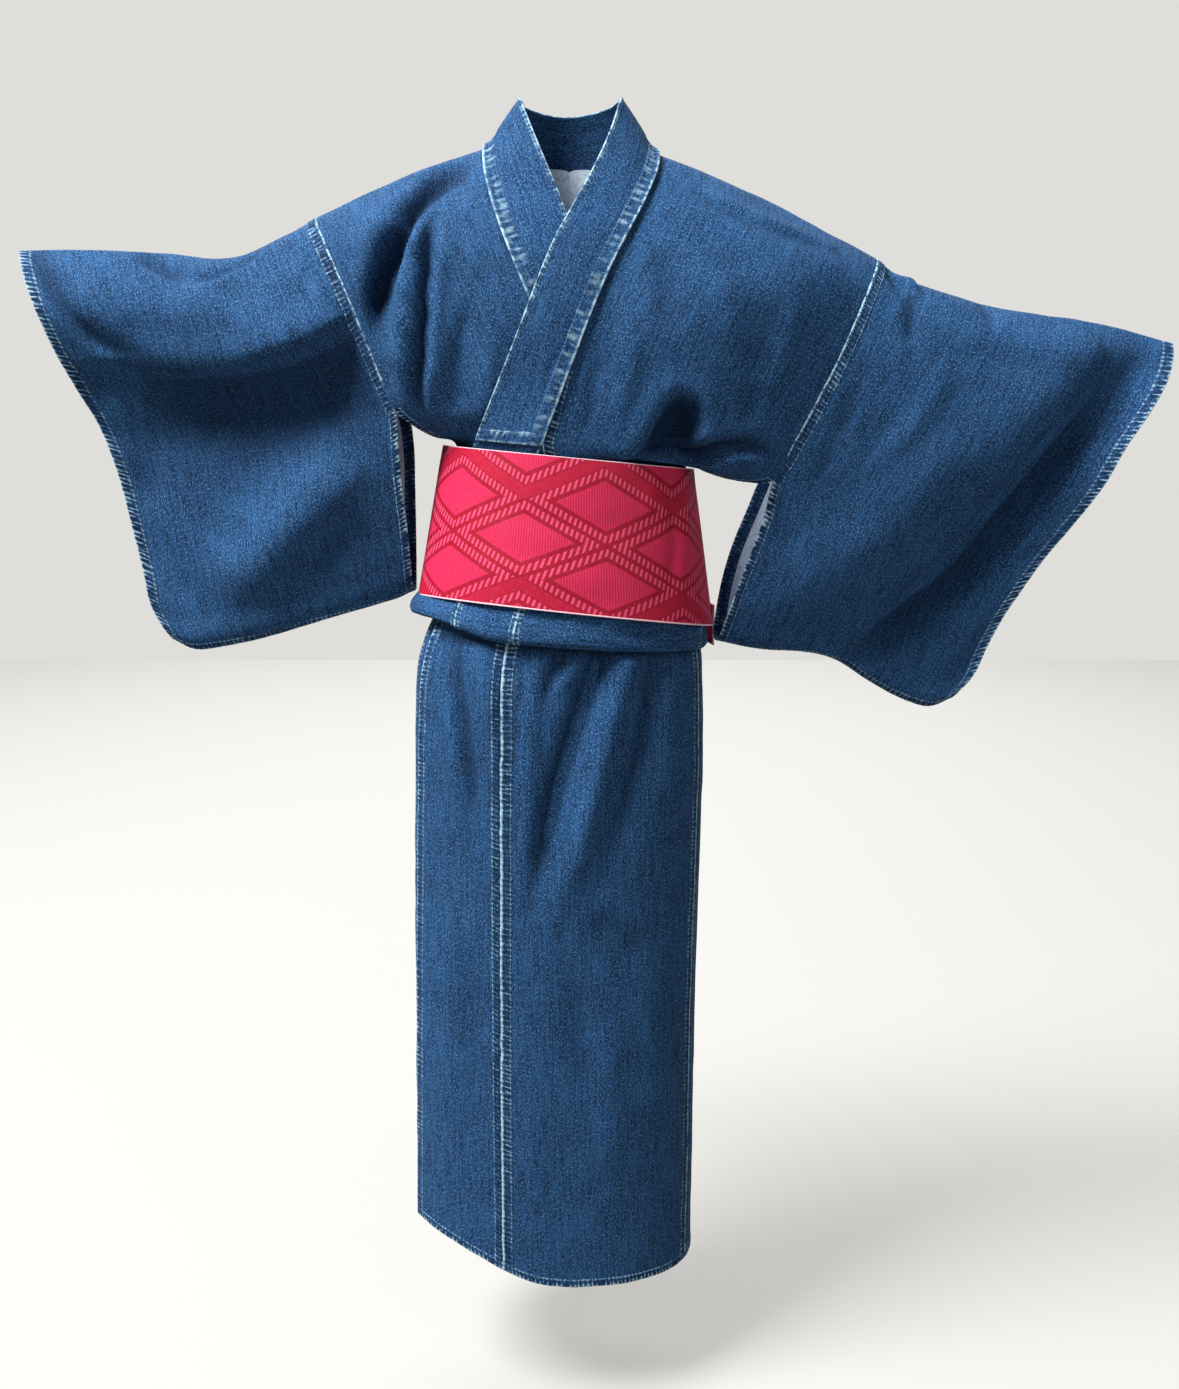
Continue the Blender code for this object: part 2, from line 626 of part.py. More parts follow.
UNDER_OKUMI_ANGLE = 374.0
UNDER_EDGE_ANGLE = 426.0
HEM_Z = -1.262
HEM_RISE = 0.050
HEM_SLOPE = 0.035
# Folds of the skirt, in cm, hanging from under the tuck
SKIRT_FOLDS = [
    ("x0", "z0", "x1", "z1", "half_width", "height"),
    (6.2, -51.0, -0.6, -80.0, 1.9, 0.55),
    (3.0, -51.0, -2.6, -76.0, 1.7, -0.45),
    (11.2, -50.0, 9.0, -74.0, 2.2, 0.35),
    (-8.4, -52.0, -9.2, -66.0, 1.6, 0.30),
]


def skirt_section(height):
    """Centre, half width and half depth of the skirt at a height."""
    return tuple(through_rows(SKIRT_SECTIONS, name, np.negative(height) / CM) * CM
                 for name in ("centre_x", "half_width", "half_depth"))


def skirt_point(angle, height, outward=0.0):
    """A point of the wound cloth; each whole turn from the outer edge lies LAYER_STEP further in."""
    centre, half_width, half_depth = skirt_section(height)
    inset = LAYER_STEP * (angle - OUTER_EDGE_ANGLE["top"]) / 360.0 - outward
    turn = np.radians(angle)
    power = 2.0 / SKIRT_ROUNDNESS
    x = np.sign(np.sin(turn)) * np.abs(np.sin(turn)) ** power
    y = -np.sign(np.cos(turn)) * np.abs(np.cos(turn)) ** power
    return np.stack([centre + (half_width - inset) * x, (half_depth - inset) * y, height + 0 * x], axis=-1)


def hem_height(x):
    return HEM_Z + HEM_RISE * smooth_step((-x - 0.01) / 0.17) - HEM_SLOPE * x


def skirt_panel(start, end, columns, folds=False):
    """A panel between two seams, whose angles run from their top to their hem values."""
    down = np.array(SKIRT_ROW_DROPS)[:, None] / SKIRT_ROW_DROPS[-1]
    share = np.linspace(0.0, 1.0, columns)[None, :]
    start_angle = start[0] + (start[1] - start[0]) * down
    end_angle = end[0] + (end[1] - end[0]) * down
    angle = start_angle + (end_angle - start_angle) * share
    grid = skirt_point(angle, TUCK_TOP - SKIRT_ROW_DROPS[-1] * down)
    top = TUCK_TOP - SKIRT_START_DROP - TUCK_SLOPE * grid[..., 0]
    grid = skirt_point(angle, top + (hem_height(grid[..., 0]) - top) * down)
    if folds:
        fade = smooth_step((down - 0.06) / 0.08)
        grid[..., 1] -= fold_height(grid[..., 0], grid[..., 2], SKIRT_FOLDS) * fade
    return grid


# Waist tuck: the cloth's fold below the obi, its section rows going down outside and up inside, in cm
TUCK_SECTION = [
    ("drop", "half_width", "half_depth", "centre_x"),
    (0.08, 15.3, 12.20, 0.0),
    (1.5, 15.9, 12.6, -0.3),
    (2.8, 16.6, 13.1, -0.8),
    (4.0, 17.0, 13.4, -1.1),
    (4.8, 16.95, 13.3, -1.15),
]
TUCK_STEP_ANGLE = 284.0
TUCK_FOLD_DROP = 0.052
TUCK_INNER_DROPS = (0.049, 0.037, 0.024)
TUCK_STAND_OFF = 0.0031


def tuck_grid():
    angle = np.linspace(0.0, 360.0, RING_STEPS, endpoint=False)
    turn = np.radians(angle)
    wound = np.where(angle > TUCK_STEP_ANGLE, angle - 360.0, angle)
    rings = []
    for drop, half_width, half_depth, centre in TUCK_SECTION[1:]:
        x = (centre + half_width * np.sin(turn)) * CM
        y = -half_depth * np.cos(turn) * CM
        rings.append(np.stack([x, y, TUCK_TOP - drop * CM - TUCK_SLOPE * x], axis=1))
    for drop in (TUCK_FOLD_DROP,) + TUCK_INNER_DROPS:
        x = rings[-1][:, 0]
        stand_off = TUCK_STAND_OFF + (0.0016 if drop == TUCK_FOLD_DROP else 0.0)
        rings.append(skirt_point(wound, TUCK_TOP - drop - TUCK_SLOPE * x, outward=stand_off))
    return np.stack(rings, axis=1)


# Obi: a tilted ring round the waist, in cm
OBI_SECTIONS = [
    ("half_width", "half_depth", "centre_x", "z", "slope", "front_rise"),
    (14.0, 11.9, 0.0, -31.4, 0.094, 0.0),
    (16.75, 13.35, -0.35, -48.6, 0.107, 0.08),
]
OBI_ROWS = 5


def obi_grid():
    turn = np.radians(np.linspace(0.0, 360.0, RING_STEPS, endpoint=False))
    ends = []
    for half_width, half_depth, centre, z, slope, front_rise in OBI_SECTIONS[1:]:
        x = centre + half_width * np.sin(turn)
        y = -half_depth * np.cos(turn)
        ends.append(np.stack([x, y, z - slope * x - front_rise * np.minimum(y, 0.0)], axis=1) * CM)
    share = np.linspace(0.0, 1.0, OBI_ROWS)[None, :, None]
    return ends[0][:, None] * (1 - share) + ends[1][:, None] * share


# Knot at the back of the obi, in cm: a loop of obi cloth laid flat against it, a band that holds its
# middle, and two short tails that hang from under the band.
KNOT = {"half_width": 2.6, "y": 14.52, "z": -36.8, "half_height": 4.6, "half_depth": 1.86}
KNOT_STEPS = 32
BOW = {"half_width": 13.5, "pinch": 3.2, "half_height": 6.2, "droop": 3.2, "pinch_depth": 1.42, "puff": 0.8,
       "curl": 0.016}
BOW_STEPS = 40
OBI_LEAN = 0.084
TAILS = {"left": 1.0, "right": -1.0}
TAIL_PATH = [(0.6, 13.75, -43.92), (5.0, 13.9, -45.3), (9.5, 12.8, -47.3), (13.8, 10.0, -49.6),
             (17.2, 6.6, -51.2)]
TAIL_HALF_WIDTH = 2.4
TAIL_STATIONS = 10


def leaning(z):
    """How far the obi's back stands out at a height, compared with the knot's middle."""
    return OBI_LEAN * (KNOT["z"] - z)


def bow_grid():
    """A flat loop standing on edge, pinched in its middle, its ends hanging a little."""
    turn = np.radians(np.linspace(0.0, 360.0, BOW_STEPS, endpoint=False))
    x = BOW["half_width"] * np.cos(turn)
    puff = BOW["pinch_depth"] + BOW["puff"] * smooth_step((np.abs(x) - 3.0) / 5.0)
    y = KNOT["y"] - BOW["curl"] * np.maximum(np.abs(x) - KNOT["half_width"], 0.0) ** 2 + puff * np.sin(turn)
    spread = BOW["pinch"] + (BOW["half_height"] - BOW["pinch"]) * smooth_step((np.abs(x) - 1.5) / 8.0)
    share = np.linspace(-1.0, 1.0, 5)[None, :]
    z = KNOT["z"] - BOW["droop"] * (x / BOW["half_width"])[:, None] ** 2 + spread[:, None] * share
    return np.stack([x[:, None] + 0 * share, y[:, None] + leaning(z), z], axis=2) * CM


def knot_grid():
    """The band round the bow's middle, a ring with flat sides."""
    turn = np.radians(np.linspace(0.0, 360.0, KNOT_STEPS, endpoint=False))
    flatness = 0.42
    y = KNOT["y"] + KNOT["half_depth"] * np.sign(np.cos(turn)) * np.abs(np.cos(turn)) ** flatness
    z = KNOT["z"] + KNOT["half_height"] * np.sign(np.sin(turn)) * np.abs(np.sin(turn)) ** flatness
    x = np.linspace(-KNOT["half_width"], KNOT["half_width"], 4)[None, :]
    return np.stack([x + 0 * y[:, None], (y + leaning(z))[:, None] + 0 * x, z[:, None] + 0 * x], axis=2) * CM


def tail_grid(side):
    """A short strip that comes out under the knot and lies round the hip."""
    sign = TAILS[side]
    path = smooth_curve(np.array(TAIL_PATH), np.linspace(0.0, 1.0 if sign > 0 else 0.8, TAIL_STATIONS))
    across = np.linspace(-1.0, 1.0, 4)[None, :, None] * np.array([0.0, 0.0, TAIL_HALF_WIDTH])
    grid = path[:, None, :] + across
    return grid * np.array([sign, 1.0, 1.0]) * CM


def build():
    clear_scene()
    denim = fabric("denim", DENIM_BLUE, 0.85)
    collar_denim = fabric("denim_collar", DENIM_DARK, 0.85)
    red = fabric("obi_cloth", OBI_RED, 0.6)

    for side in ("left", "right"):
        body, okumi = upper_panels(side)
        body = draw_back(body, SEAM_GAP, first=True, last=True)
        for layer, (grid, normals) in layers(body, centre_back_normals(body)).items():
            add_cloth("body_" + side + "_" + layer, grid, DENIM_THICKNESS, denim, normals=normals)
        okumi = draw_back(okumi, SEAM_GAP, last=True)
        add_cloth("okumi_" + side + "_upper", okumi, DENIM_THICKNESS, denim)
        sleeve = draw_back(sleeve_grid(side), SEAM_GAP, first=True)
        for layer, (grid, normals) in sleeve_layers(sleeve).items():
            add_cloth("sleeve_" + side + "_" + layer, grid, DENIM_THICKNESS, denim, normals=normals)

    collar = collar_grid()
    add_cloth("collar", collar, DENIM_THICKNESS, collar_denim)
    over, over_normals = over_collar_grid(collar)
    add_cloth("over_collar", over, DENIM_THICKNESS, collar_denim, normals=over_normals)

    outer_edge = (OUTER_EDGE_ANGLE["top"], OUTER_EDGE_ANGLE["hem"])
    okumi_seam = (OKUMI_SEAM_ANGLE["top"], OKUMI_SEAM_ANGLE["hem"])
    seams = {
        "okumi_left_skirt": (outer_edge, okumi_seam, 6, True),
        "front_left_skirt": (okumi_seam, (SIDE_SEAM_ANGLE,) * 2, 10, True),
        "back_left_skirt": ((SIDE_SEAM_ANGLE,) * 2, (CENTRE_BACK_ANGLE,) * 2, 8, False),
        "back_right_skirt": ((CENTRE_BACK_ANGLE,) * 2, (FAR_SIDE_ANGLE,) * 2, 8, False),
        "front_right_skirt": ((FAR_SIDE_ANGLE,) * 2, (UNDER_OKUMI_ANGLE,) * 2, 8, False),
        "okumi_right_skirt": ((UNDER_OKUMI_ANGLE,) * 2, (UNDER_EDGE_ANGLE,) * 2, 5, False),
    }
    for name, (start, end, columns, folds) in seams.items():
        panel = draw_back(skirt_panel(start, end, columns, folds), SEAM_GAP, first=True, last=True)
        add_cloth(name, panel, DENIM_THICKNESS, denim)

    add_cloth("waist_tuck", tuck_grid(), DENIM_THICKNESS, denim, around=True)
    add_cloth("obi_wrap", obi_grid(), OBI_THICKNESS, red, around=True)
    add_cloth("obi_bow", bow_grid(), OBI_THICKNESS, red, around=True)
    add_cloth("obi_knot", knot_grid(), OBI_THICKNESS, red, around=True)
    for side in ("left", "right"):
        add_cloth("obi_tail_" + side, tail_grid(side), OBI_THICKNESS, red)


build()
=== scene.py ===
import math
from functools import partial
import bpy
import numpy as np
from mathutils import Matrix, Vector


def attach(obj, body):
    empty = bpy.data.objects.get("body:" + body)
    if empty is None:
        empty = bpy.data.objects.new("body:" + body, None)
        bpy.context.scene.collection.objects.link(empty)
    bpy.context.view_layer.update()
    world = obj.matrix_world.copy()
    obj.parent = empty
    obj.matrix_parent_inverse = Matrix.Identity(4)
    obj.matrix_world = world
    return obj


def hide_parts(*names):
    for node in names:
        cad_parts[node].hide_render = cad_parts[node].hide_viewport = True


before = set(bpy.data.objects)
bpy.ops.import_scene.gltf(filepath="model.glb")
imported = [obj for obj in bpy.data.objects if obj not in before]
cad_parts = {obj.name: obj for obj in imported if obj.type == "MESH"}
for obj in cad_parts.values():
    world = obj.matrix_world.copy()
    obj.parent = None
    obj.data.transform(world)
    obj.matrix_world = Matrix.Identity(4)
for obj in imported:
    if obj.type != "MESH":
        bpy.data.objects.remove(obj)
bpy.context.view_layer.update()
print("frame loaded:", len(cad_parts), "nodes")

cm, mm = 0.01, 0.001
cadWall = 0.0020        # wall of the denim solids
denimWall = 0.0012      # cloth that is shown, inside that wall
obiWall = 0.0016
denimLift = 0.0008      # the shown cloth's outer face above the middle of the solid's wall
obiLift = 0.0010
fineStep = 0.0048       # spacing of the points on a panel
bandStep = 0.0018       # spacing of the points along a sewn edge
sharpAngle = 62.0       # degrees between faces from which their edge is shown sharp
tiny = 1e-9


def rowsOf(text):
    # rows of numbers, parted by commas
    return np.array([row.split() for row in text.split(",")], dtype=float)


def table(names, text):
    return dict(zip(names.split(), rowsOf(text).T))


def creasesOf(text):
    # creases parted by semicolons; each has its places (across, height) and, after a colon, its half width on the
    # left and on the right of the line and its height, all in cm
    return [(rowsOf(path), *rowsOf(bell)[0]) for path, bell in (crease.split(":") for crease in text.split(";"))]


def smoothStep(value):
    held = np.clip(value, 0.0, 1.0)     # 0 below 0, 1 above 1, an S between
    return held * held * (3.0 - 2.0 * held)


def unit(vectors):
    return vectors / np.maximum(np.linalg.norm(vectors, axis=-1, keepdims=True), tiny)


def lengthsAlong(grid):
    # length from the first row to each row, in a grid the mean of its columns
    steps = np.linalg.norm(np.diff(grid, axis=0), axis=-1)
    return np.r_[0.0, np.cumsum(steps.reshape(len(steps), -1).mean(axis=1))]


def hermite(t, span, start, startSlope, end, endSlope):
    # cubic from start to end that leaves and arrives with the given slopes
    return ((2 * t ** 3 - 3 * t ** 2 + 1) * start + (t ** 3 - 2 * t ** 2 + t) * span * startSlope
            + (3 * t ** 2 - 2 * t ** 3) * end + (t ** 3 - t ** 2) * span * endSlope)


def throughRows(values, name, rows):
    # cubic through a column of the table, with the slopes of the neighbouring rows
    at, column = values["row"], values[name]
    slopes = np.gradient(column, at)
    rows = np.asarray(rows, dtype=float)
    k = np.clip(np.searchsorted(at, rows, side="right") - 1, 0, len(at) - 2)
    span = at[k + 1] - at[k]
    return hermite((rows - at[k]) / span, span, column[k], slopes[k], column[k + 1], slopes[k + 1])


def smoothCurve(points, shares):
    # Catmull-Rom curve through the points, read at shares of its length
    padded = np.vstack([2 * points[0] - points[1], points, 2 * points[-1] - points[-2]])
    before, start, end, after = (padded[k:len(padded) - 3 + k, None] for k in range(4))
    t = np.linspace(0.0, 1.0, 25)[None, :, None]
    spans = hermite(t, 1.0, start, (end - before) / 2, end, (after - start) / 2)
    dense = np.vstack([spans[0], *spans[1:, 1:]])
    lengths = lengthsAlong(dense)
    return np.stack([np.interp(shares * lengths[-1], lengths, places) for places in dense.T], axis=1)


def meanDirection(grid, axis, around=False):
    # sum of the unit steps that reach and leave each point
    step = np.moveaxis(unit(np.roll(grid, -1, axis=axis) - grid), axis, 0)
    if not around:
        step[-1] = step[-2]
    before = np.roll(step, 1, axis=0)
    if not around:
        before[0] = step[0]
    return np.moveaxis(step + before, 0, axis)


def crossNormals(grid, around=False):
    return unit(np.cross(meanDirection(grid, 0, around), meanDirection(grid, 1)))


def outwardNormals(grid, around=False, middle=0.0):
    # turned away from the plane y = middle
    normals = crossNormals(grid, around)
    return normals if np.sum(normals[..., 1] * (grid[..., 1] - middle)) > 0 else -normals


def betweenRows(grid, at):
    # cubic along each column, its slopes weighted by the lengths of the steps beside them
    step = np.diff(grid, axis=0)
    length = np.linalg.norm(step, axis=2, keepdims=True) + tiny
    slope = step / length
    tangent = np.empty_like(grid)
    tangent[1:-1] = (slope[:-1] * length[1:] + slope[1:] * length[:-1]) / (length[:-1] + length[1:])
    tangent[0], tangent[-1] = slope[0], slope[-1]
    k = np.clip(np.floor(at).astype(int), 0, len(grid) - 2)
    return hermite((at - k)[:, None, None], length[k], grid[k], tangent[k], grid[k + 1], tangent[k + 1])


def evenRows(grid, step, least=4):
    # row numbers that stand about one step apart along the cloth
    lengths = lengthsAlong(grid)
    count = max(int(round(lengths[-1] / step)), least)
    return np.interp(np.linspace(0.0, lengths[-1], count + 1), lengths, np.arange(len(grid)))


def finer(grid, step, around, acrossStep):
    # the coarse grid on many more points; also gives the coarse row of each fine one
    if around:
        at = evenRows(np.concatenate([grid, grid[:1]]), step)[:-1]
        rows = betweenRows(np.concatenate([grid[-3:], grid, grid[:4]]), at + 3)
    else:
        at = evenRows(grid, step)
        rows = betweenRows(grid, at)
    across = rows.transpose(1, 0, 2)
    return betweenRows(across, evenRows(across, acrossStep or step)).transpose(1, 0, 2), at


def softNoise(points, size, seed):
    # values between -1 and 1 on a lattice of the given size, blended smoothly between its corners
    p = points / size + seed * 17.31
    cell = np.floor(p)
    f = p - cell
    f = f * f * f * (f * (f * 6 - 15) + 10)
    total = 0.0
    for corner in range(8):
        offset = np.array([corner & 1, (corner >> 1) & 1, corner >> 2])
        q = cell + offset
        value = np.sin(q[..., 0] * 127.1 + q[..., 1] * 311.7 + q[..., 2] * 74.7) * 43758.5453
        weight = np.prod(np.where(offset == 1, f, 1 - f), axis=-1)
        total = total + weight * ((value - np.floor(value)) * 2 - 1)
    return total


def lineNoise(s, size, seed, across=0.0, third=0.0):
    # the noise along a line of lengths
    return softNoise(np.stack([s, 0 * s + across, 0 * s + third], 1), size, seed)


def creaseHeight(grid, creases):
    # each crease follows a line of places; its bell has its own width on either hand and fades at both ends
    x, z = grid[..., 0], grid[..., 2]
    endPart, endShare = 0.3, 0.15       # part of the length over which it fades, and what is left at its end
    total = np.zeros_like(x)
    for path, left, right, height in creases:
        path = smoothCurve(path * cm, np.linspace(0.0, 1.0, 2 * len(path) + 3))
        lengths = lengthsAlong(path)
        best = np.full(x.shape, np.inf)
        signed, along = np.zeros_like(x), np.zeros_like(x)
        for a, b, start in zip(path[:-1], path[1:], lengths):
            d = b - a
            size = np.hypot(*d)
            t = np.clip(((x - a[0]) * d[0] + (z - a[1]) * d[1]) / size ** 2, 0.0, 1.0)
            px, pz = x - a[0] - t * d[0], z - a[1] - t * d[1]
            distance = np.hypot(px, pz)
            nearer = distance < best
            best = np.where(nearer, distance, best)
            signed = np.where(nearer, np.sign(d[0] * pz - d[1] * px), signed)
            along = np.where(nearer, start + t * size, along)
        width = np.where(signed > 0, left, right) * cm
        end = endPart * lengths[-1]
        fade = smoothStep(along / end) * smoothStep((lengths[-1] - along) / end)
        total += height * cm * np.exp(-(best / width) ** 2) * (endShare + (1 - endShare) * fade)
    return total


def foldHeight(x, z, folds):
    # bells across straight lines (x0, z0, x1, z1, half width, height in cm), fading past both ends
    height = np.zeros_like(x)
    for x0, z0, x1, z1, width, tall in folds * cm:
        length = math.hypot(x1 - x0, z1 - z0)
        along = ((x - x0) * (x1 - x0) + (z - z0) * (z1 - z0)) / length ** 2
        across = ((x - x0) * (z1 - z0) - (z - z0) * (x1 - x0)) / length
        reach = np.maximum(np.abs(along - 0.5) - 0.5, 0.0) * length
        height += tall * np.exp(-(across ** 2 + reach ** 2) / width ** 2)
    return height


def quadsOf(rows, columns, around=False):
    # (row, column) of the corners of every quad of a grid; the last row of a loop meets row 0
    i, j = np.meshgrid(np.arange(rows if around else rows - 1), np.arange(columns - 1), indexing="ij")
    i, j = i.ravel(), j.ravel()
    return np.stack([np.stack([i, i + 1, i + 1, i], 1), np.stack([j, j, j + 1, j + 1], 1)], axis=2)


def linked(name, data):
    thing = bpy.data.objects.new(name, data)
    bpy.context.scene.collection.objects.link(thing)
    return thing


def meshPiece(name, points, faces, materials, slots=None, uv=None, pale=None):
    mesh = bpy.data.meshes.new(name)
    mesh.vertices.add(len(points))
    mesh.vertices.foreach_set("co", points.astype(np.float32).ravel())
    mesh.loops.add(faces.size)
    mesh.loops.foreach_set("vertex_index", faces.astype(np.int32).ravel())
    mesh.polygons.add(len(faces))
    mesh.polygons.foreach_set("loop_start", np.arange(0, faces.size, faces.shape[1], dtype=np.int32))
    if slots is not None:
        mesh.polygons.foreach_set("material_index", slots.astype(np.int32))
    mesh.update()
    if uv is not None:
        mesh.uv_layers.new(name="cut").data.foreach_set("uv", uv.astype(np.float32).ravel())
        mesh.attributes.new("pale", "FLOAT", "POINT").data.foreach_set("value", pale.astype(np.float32).ravel())
    for material in materials:
        mesh.materials.append(material)
    mesh.validate()
    mesh.shade_smooth()
    if uv is not None:
        mesh.set_sharp_from_angle(angle=math.radians(sharpAngle))
    return linked(name, mesh)


def volumeOf(points, quads):
    a, b, c, d = (points[quads[:, k]] for k in range(4))
    return np.sum(a * np.cross(b, c)) + np.sum(a * np.cross(c, d))


def clothShell(name, panel, cloth, uvOffset):
    # a thin closed wall: the outer face, the same moved in by the wall, and a rim round every open edge
    outer, around = panel["outer"], panel["around"]
    rows, columns = outer.shape[:2]
    inner = outer - panel["normals"] * cloth["wall"]
    points = np.concatenate([outer.reshape(-1, 3), inner.reshape(-1, 3)])
    corner = quadsOf(rows, columns, around)
    index = (corner[..., 0] % rows) * columns + corner[..., 1]
    middle = outer[:, columns // 2]
    along = lengthsAlong(np.concatenate([middle, middle[:1]]) if around else middle) + uvOffset[1]
    across = lengthsAlong(outer.transpose(1, 0, 2)) + uvOffset[0]
    uv = np.stack([across[corner[..., 1]], along[corner[..., 0]]], axis=2)
    far = rows * columns
    i, j = np.arange(len(along)), np.arange(columns)
    openEdges = [(i, 0 * i, 1), (i, 0 * i + columns - 1, -1)]
    if not around:
        openEdges += [(0 * j, j, -1), (0 * j + rows - 1, j, 1)]
    rims, rimUv = [], []
    for row, column, turn in openEdges:
        corners, places = (row % rows) * columns + column, np.stack([across[column], along[row]], axis=1)
        first, second = (corners[:-1], corners[1:])[::turn]
        start, end = (places[:-1], places[1:])[::turn]
        rims.append(np.stack([first, first + far, second + far, second], axis=1))
        rimUv.append(np.stack([start, start, end, end], axis=1))
    quads = np.concatenate([index, index[:, ::-1] + far] + rims)
    uv = np.concatenate([uv, uv[:, ::-1]] + rimUv)
    if cloth["turnUv"]:
        uv = uv[..., ::-1]
    if volumeOf(points, quads) < 0:
        quads, uv = quads[:, ::-1], uv[:, ::-1]
    slots = np.zeros(len(quads), dtype=int)
    slots[len(index):2 * len(index)] = 1
    pale = panel["pale"].ravel()
    return meshPiece(name, points, quads, cloth["materials"], slots, uv, np.concatenate([pale, 0 * pale]))


def gridsMesh(name, grids, material):
    # several open grids in one mesh, each with its own texture place and paleness
    points, quads, uvs, pales = [], [], [], []
    count = 0
    for grid, uv, pale in grids:
        rows, columns = grid.shape[:2]
        corner = quadsOf(rows, columns)
        points.append(grid.reshape(-1, 3))
        quads.append(corner[..., 0] * columns + corner[..., 1] + count)
        uvs.append(uv[corner[..., 0], corner[..., 1]])
        pales.append(pale.ravel())
        count += rows * columns
    points, quads, uvs, pales = (np.concatenate(part) for part in (points, quads, uvs, pales))
    return meshPiece(name, points, quads, [material], np.zeros(len(quads)), uvs, pales)


def bandKind(waves, stitches, across):
    # across the band: mm from the edge, mm over the cloth, paleness, strength of its patches
    return dict(zip(("ladder", "sway", "pucker", "pitch"), rowsOf(waves)[0]),
                stitches=rowsOf(stitches) if stitches else (), across=rowsOf(across))


